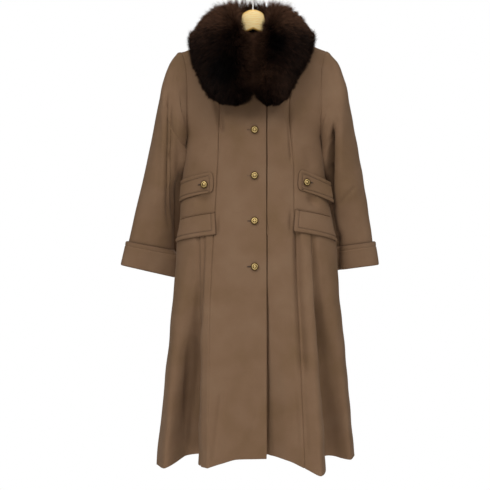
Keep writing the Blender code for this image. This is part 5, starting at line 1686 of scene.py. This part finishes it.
GUARD_SHARE = 0.12  # of the hairs are guard hairs, longer and thinner
GUARD_REACH = 1.30  # their length at the collar's top, and elsewhere
GUARD_REACH_LEAST = 1.04
GUARD_WIDTH = 0.7
GUARD_GATHER = 0.08
ROOT_CLEAR = (0.001, 0.006)  # how far past its clearance the fur starts, and how soon it is full from there
# Ranges of lengths for the locks, for the locks at the collar's top as well, and for the hairs
LOCK_LENGTHS = (0.92, 1.06)
RIM_LENGTHS = (-0.10, 0.22)
HAIR_LENGTHS = (0.70, 1.02)
HAIR_STRAY = 0.13
GATHER = (0.12, 0.40)  # how far the hairs' tips are drawn to their lock's tip
RIM_GATHER = 0.38  # and how much further at the collar's top
HAIR_BEND = 0.5  # the share of its length that a hair heads straight out of the pelt
HAIR_SHARES = [0.0, 0.52, 1.0]  # where along a hair its points lie, and how wide it is there
HAIR_WIDTHS = [1.0, 0.8, 0.0]
HAIR_TWIST = 0.5  # how much the hairs' flat sides are turned from one another
WIDTH_RANGE = (0.6, 1.3)
TONE_RANGE = (0.0, 0.24)
ROOT_TONE = 0.08  # of the darkest hairs, and how much paler their tips are
TIP_TONE = 0.38
ROOT_SHARE = 0.25  # of what makes a hair paler shows at its root
HAIR_FACES = [[0, 1, 3], [0, 3, 2], [2, 3, 4]]
# Where hairs lean another way: between the collar's two ends, at the front's middle, beside the hanger and
# under it. Each row holds limits from the middle, in depth and in height with the fade inside each, the way
# the hairs lean (towards the middle, +Y, +Z), how much longer they are and how much more they stray.
Lean = namedtuple("Lean", "across depth top bottom towards reach stray")
LEANS = [
    Lean((0.036, 0.024), (-0.020, 0.020), (-0.280, 0.020), (-0.400, 0.010), (0.00, -0.60, 0.70), -0.60, 0.10),
    Lean((0.080, 0.065), (-0.025, 0.030), (-0.142, 0.026), (-0.360, 0.010), (0.62, -0.90, -0.30), 0.34, 0.16),
    Lean((0.062, 0.020), (0.004, 0.010), (-0.064, 0.008), (-0.104, 0.014), (1.00, -0.35, 0.55), 0.22, 0.05),
    Lean((0.052, 0.018), (0.002, 0.010), (-0.106, 0.010), (-0.170, 0.020), (0.10, -0.30, -0.80), -0.30, 0.05),
]
# Painted light on the fur's front: the paler places are painted highlights where the hairs catch the light,
# and the darker ones painted shade in the hollows between locks. Each holds where it lies across and in
# height, its radius, and how much paler it makes the hairs (below 0, darker).
PaintedFurSpot = namedtuple("PaintedFurSpot", "across height radius tone")
PAINTED_FUR_SPOTS = [
    PaintedFurSpot(-0.072, -0.260, 0.036, -0.36),
    PaintedFurSpot(0.057, -0.192, 0.026, -0.30),
    PaintedFurSpot(0.000, -0.185, 0.050, 0.40),
    PaintedFurSpot(0.000, -0.265, 0.042, 0.26),
    PaintedFurSpot(0.055, -0.290, 0.048, 0.24),
    PaintedFurSpot(0.115, -0.210, 0.040, 0.10),
    PaintedFurSpot(-0.140, -0.190, 0.035, 0.10),
]


def lean_shares(root):
    """How much each hair leans as each row of LEANS says: its share of what the rows before it leave."""
    shares, left = [], 1.0
    for lean in LEANS:
        share = left
        for value, (limit, fade) in zip((np.abs(root[:, :1]), root[:, 1:2], root[:, 2:]), lean[:3]):
            share = share * eased((limit - value) / fade)
        share = share * eased((root[:, 2:] - lean.bottom[0]) / lean.bottom[1])
        shares.append(share)
        left = left - share
    return shares


def hair_tips(root, normal, length, stray):
    """Where hairs end: out from the pelt, combed away from the neck but not inside it, sagging a little."""
    away = root - NECK_CENTRE
    outer = np.clip((unit(away) * normal).sum(axis=-1, keepdims=True) + COMBED, 0, 1)
    lay = unit(away - normal * (away * normal).sum(axis=-1, keepdims=True))
    flat = FUR_LAY + SIDE_LAY * (1 - rise_share(root, RIM))
    shares = lean_shares(root)
    heading = normal + flat * outer * (1 - sum(shares)) * lay - FUR_SAG * UP + stray
    for lean, share in zip(LEANS, shares):
        ways = np.concatenate([-np.sign(root[:, :1]), np.ones((len(root), 2))], axis=1)
        towards = np.array(lean.towards) * ways
        heading = heading + share * (towards + stray * lean.stray / FUR_STRAY)
        length = length * (1 + lean.reach * share)
    return root + unit(heading) * length * FUR_REACH


def rise_share(points, heights):
    start, end = heights
    return eased((points[:, 2:] - start) / (end - start))


def fur_tone_and_painted_light(tips):
    """How much paler hairs are than the darkest: brown at the top, partly their own paler tips and partly
    painted light from above, with painted highlights and painted shade at places in front.
    """
    # Paler towards the top: partly the fur's own tips, partly painted light from above
    tone = PALE_AND_LIT_TOP_TONE * rise_share(tips, PALE_AND_LIT_TOP)
    # Painted highlights and painted shade at places in front
    for spot in PAINTED_FUR_SPOTS:
        far = np.hypot(tips[:, :1] - spot.across, tips[:, 2:] - spot.height) / spot.radius
        tone += spot.tone * np.exp(-(far**4)) * (tips[:, 1:2] < 0)
    return tone


def make_fur(name, rings, pelt, outward, depth, along, count, material, rng):
    """One piece of long fur as joined tapered strips, which lean together a little into fine locks."""
    root, normal, length = fur_roots(rings, pelt, outward, depth, along, count, rng)
    locks = int(FUR_AREA / LOCK_SPACING**2)
    chosen = rng.choice(count, size=locks, replace=False)
    tree = KDTree(locks)
    for index, place in enumerate(root[chosen]):
        tree.insert(place, index)
    tree.balance()
    lock = np.array([tree.find(place)[1] for place in root])
    rim = rise_share(root, RIM)
    nape = rim * eased(root[:, 1:2] / NAPE_FADE) * eased((NAPE_HALF_WIDTH - np.abs(root[:, :1])) / NAPE_FADE)
    lock_stray = rng.normal(0, FUR_STRAY, (locks, 3)) * (1 + RIM_STRAY * rim[chosen])
    lock_length = rng.uniform(*LOCK_LENGTHS, (locks, 1)) + rng.uniform(*RIM_LENGTHS, (locks, 1)) * rim[chosen]
    length = length * (1 + RIM_REACH * rim) * (1 + NAPE_REACH * nape)
    lock_tips = hair_tips(root[chosen], normal[chosen], length[chosen] * lock_length, lock_stray)
    guard = rng.random((count, 1)) < GUARD_SHARE
    own_stray = lock_stray[lock] + rng.normal(0, HAIR_STRAY, (count, 3))
    guard_length = GUARD_REACH_LEAST + (GUARD_REACH - GUARD_REACH_LEAST) * rim
    own_length = lock_length[lock] * np.where(guard, guard_length, rng.uniform(*HAIR_LENGTHS, (count, 1)))
    tips = hair_tips(root, normal, length * own_length, own_stray)
    gather = np.where(guard, GUARD_GATHER, rng.uniform(*GATHER, (count, 1))) + RIM_GATHER * rim
    tips = tips * (1 - gather) + lock_tips[lock] * gather
    straight = root + normal * np.linalg.norm(tips - root, axis=-1, keepdims=True) * HAIR_BEND
    heading = unit(tips - root)
    flat = unit(np.cross(heading, normal + rng.normal(0, HAIR_TWIST, (count, 3))))
    half = HAIR_HALF_WIDTH * rng.uniform(*WIDTH_RANGE, (count, 1)) * np.where(guard, GUARD_WIDTH, 1)
    points, tones = [], []
    tone_share = LOCK_TONE_LEAST + (1 - LOCK_TONE_LEAST) * rise_share(root[chosen], RIM)[:, 0]
    lock_tone = rng.uniform(*LOCK_TONES, locks) * tone_share
    tone_each = rng.uniform(*TONE_RANGE, count) + lock_tone[lock] + fur_tone_and_painted_light(tips)[:, 0]
    for share, width in zip(HAIR_SHARES, HAIR_WIDTHS):
        middle = root * (1 - share) ** 2 + straight * 2 * share * (1 - share) + tips * share**2
        tone = ROOT_TONE + TIP_TONE * share + tone_each * (ROOT_SHARE + (1 - ROOT_SHARE) * share)
        for side in [-1, 1] if width else [0]:
            points.append(middle + flat * half * width * side)
            tones.append(np.clip(tone, 0, 1))
    points = np.stack(points, axis=1)
    tones = np.stack(tones, axis=1)
    first_points = (np.arange(count) * points.shape[1])[:, None, None]
    faces = (np.array(HAIR_FACES)[None] + first_points).reshape(-1, 3)
    mesh = mesh_from(name, points.reshape(-1, 3), faces)
    attribute = mesh.attributes.new("tone", "FLOAT", "POINT")
    attribute.data.foreach_set("value", tones.astype(np.float32).ravel())
    mesh.materials.append(material)
    on_part(linked(name, mesh), "fur")


def make_collar(hair, underfur):
    rings = collar_sections(COLLAR_STEPS, COLLAR_SIDES)
    pelt, outward, depth = pelt_points(rings)
    make_pelt(pelt, underfur)
    rng = np.random.default_rng(FUR_SEED)
    count = HAIRS_EACH
    low, high = FUR_SPLITS
    for name, along in (("fur_right", (-1, low)), ("fur_back", (low, high)), ("fur_left", (high, 1))):
        make_fur(name, rings, pelt, outward, depth, along, count, hair, rng)


# Stage, lights and camera


def make_stage():
    """A pale floor below the hanging coat, outside the photograph's own view."""
    bpy.ops.object.select_all(action="DESELECT")
    bpy.ops.mesh.primitive_plane_add(size=FLOOR_SIDE, location=FLOOR_PLACE)
    floor = bpy.context.active_object
    floor.name = "floor"
    material, tree, shader = new_material("Matt white paint, rolled")
    fill(tree, shader, {"Base Color": srgb("#F1EFEC"), "Roughness": 0.9})
    floor.data.materials.append(material)


def make_world():
    """White all round for the camera, and a softer white that lights the coat."""
    world = bpy.data.worlds.new("Studio")
    bpy.context.scene.world = world
    world.use_nodes = True
    tree = world.node_tree
    tree.nodes.clear()
    seen, light = (
        add_node(tree, "ShaderNodeBackground", None, {"Color": srgb("#FFFFFF"), "Strength": strength})
        for strength in (1.0, WORLD_LIGHT)
    )
    ray = add_node(tree, "ShaderNodeLightPath").outputs["Is Camera Ray"]
    backgrounds = {0: ray, 1: light.outputs["Background"], 2: seen.outputs["Background"]}
    mix = add_node(tree, "ShaderNodeMixShader", None, backgrounds)
    add_node(tree, "ShaderNodeOutputWorld", None, {"Surface": mix.outputs["Shader"]})


def add_light(light):
    data = bpy.data.lights.new(light.name, "AREA")
    data.shape = "SQUARE"
    data.size = light.size
    data.energy = light.power
    thing = linked(light.name, data)
    thing.location = light.place
    direction = Vector(light.aim) - Vector(light.place)
    thing.rotation_mode = "QUATERNION"
    thing.rotation_quaternion = direction.to_track_quat("-Z", "Y")


def make_camera():
    data = bpy.data.cameras.new("camera")
    data.sensor_width = SENSOR_WIDTH
    data.lens = CAMERA_DISTANCE * SENSOR_WIDTH / PICTURE_SIDE
    thing = linked("camera", data)
    thing.location = (CAMERA_ACROSS, -CAMERA_DISTANCE, CAMERA_HEIGHT)
    thing.rotation_euler = (math.pi / 2, 0, 0)
    bpy.context.scene.camera = thing


def square_to(outward, sign):
    """A direction along the cloth, to the wearer's left where the sign is above 0."""
    across = np.array([float(sign), 0.0, 0.0])
    return unit(across - outward * (across @ outward))


def make_buttons(panels, tabs, thread):
    """The buttons, each standing on the cloth that it fastens, and a buttonhole beside each."""
    gold = brass_material("Brass, stamped", "#E0C48A", "#BE9F62", 0.46)
    # Dark brass: blackening in the face's grooves, and painted shade on the outer rim and sides for the
    # button's shadowed outline
    rim = brass_material("Brass, blackened, with painted shade at the rim", "#54401C", "#2A1E0B", 0.6)
    dark = thread_material("Shadow inside a buttonhole", "#120B08")
    form, slit = make_button_form(gold, rim), make_slit_form(dark)
    front = tree_of(panels["front_right"])
    for index, height in enumerate(FRONT_BUTTON_HEIGHTS):
        point, outward = surface_hit(front, FRONT_BUTTON_ACROSS, height)
        name = f"button_front_{index + 1}"
        place_button(form, name, point + outward * BUTTON_GAP, outward)
        buttonhole(f"buttonhole_front_{index + 1}", slit, point, outward, square_to(outward, -1.0), thread)
    for side, corner in TAB_BUTTONS.items():
        sign = SIDES[side]
        point, outward = surface_hit(tree_of(tabs[side]), sign * corner.across, corner.height)
        place_button(form, f"button_tab_{side}", point + outward * BUTTON_GAP, outward)
        buttonhole(f"buttonhole_tab_{side}", slit, point, outward, square_to(outward, sign), thread)
    bpy.data.objects.remove(form)
    bpy.data.objects.remove(slit)


def main():
    make_camera()
    bpy.context.scene.view_settings.view_transform = "Standard"
    wool = wool_material()
    thread = thread_material("Polyester thread, twisted", "#4C3628")
    grids = body_grids()
    panels = make_body(grids, wool)
    tabs = {}
    for side in SIDES:
        make_sleeve(grids, side, wool)
        make_cuff(grids, side, wool, thread)
        make_flap(side, wool, thread)
        tabs[side] = make_tab(side, wool, thread)
    make_buttons(panels, tabs, thread)
    make_hanger(
        wood_material("Schima wood, sawn and varnished", "#FACE80", "#FFE09C", "#FFEAAE"),
        wood_material("Schima wood, rounded edges", "#D09A3C", "#EDBB5E", "#F6CE7C"),
    )
    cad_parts["hanger_hook"].material_slots[0].material = steel_material()
    make_collar(fur_material(), pelt_material())
    make_stage()
    make_world()
    for light in LIGHTS:
        add_light(light)


main()
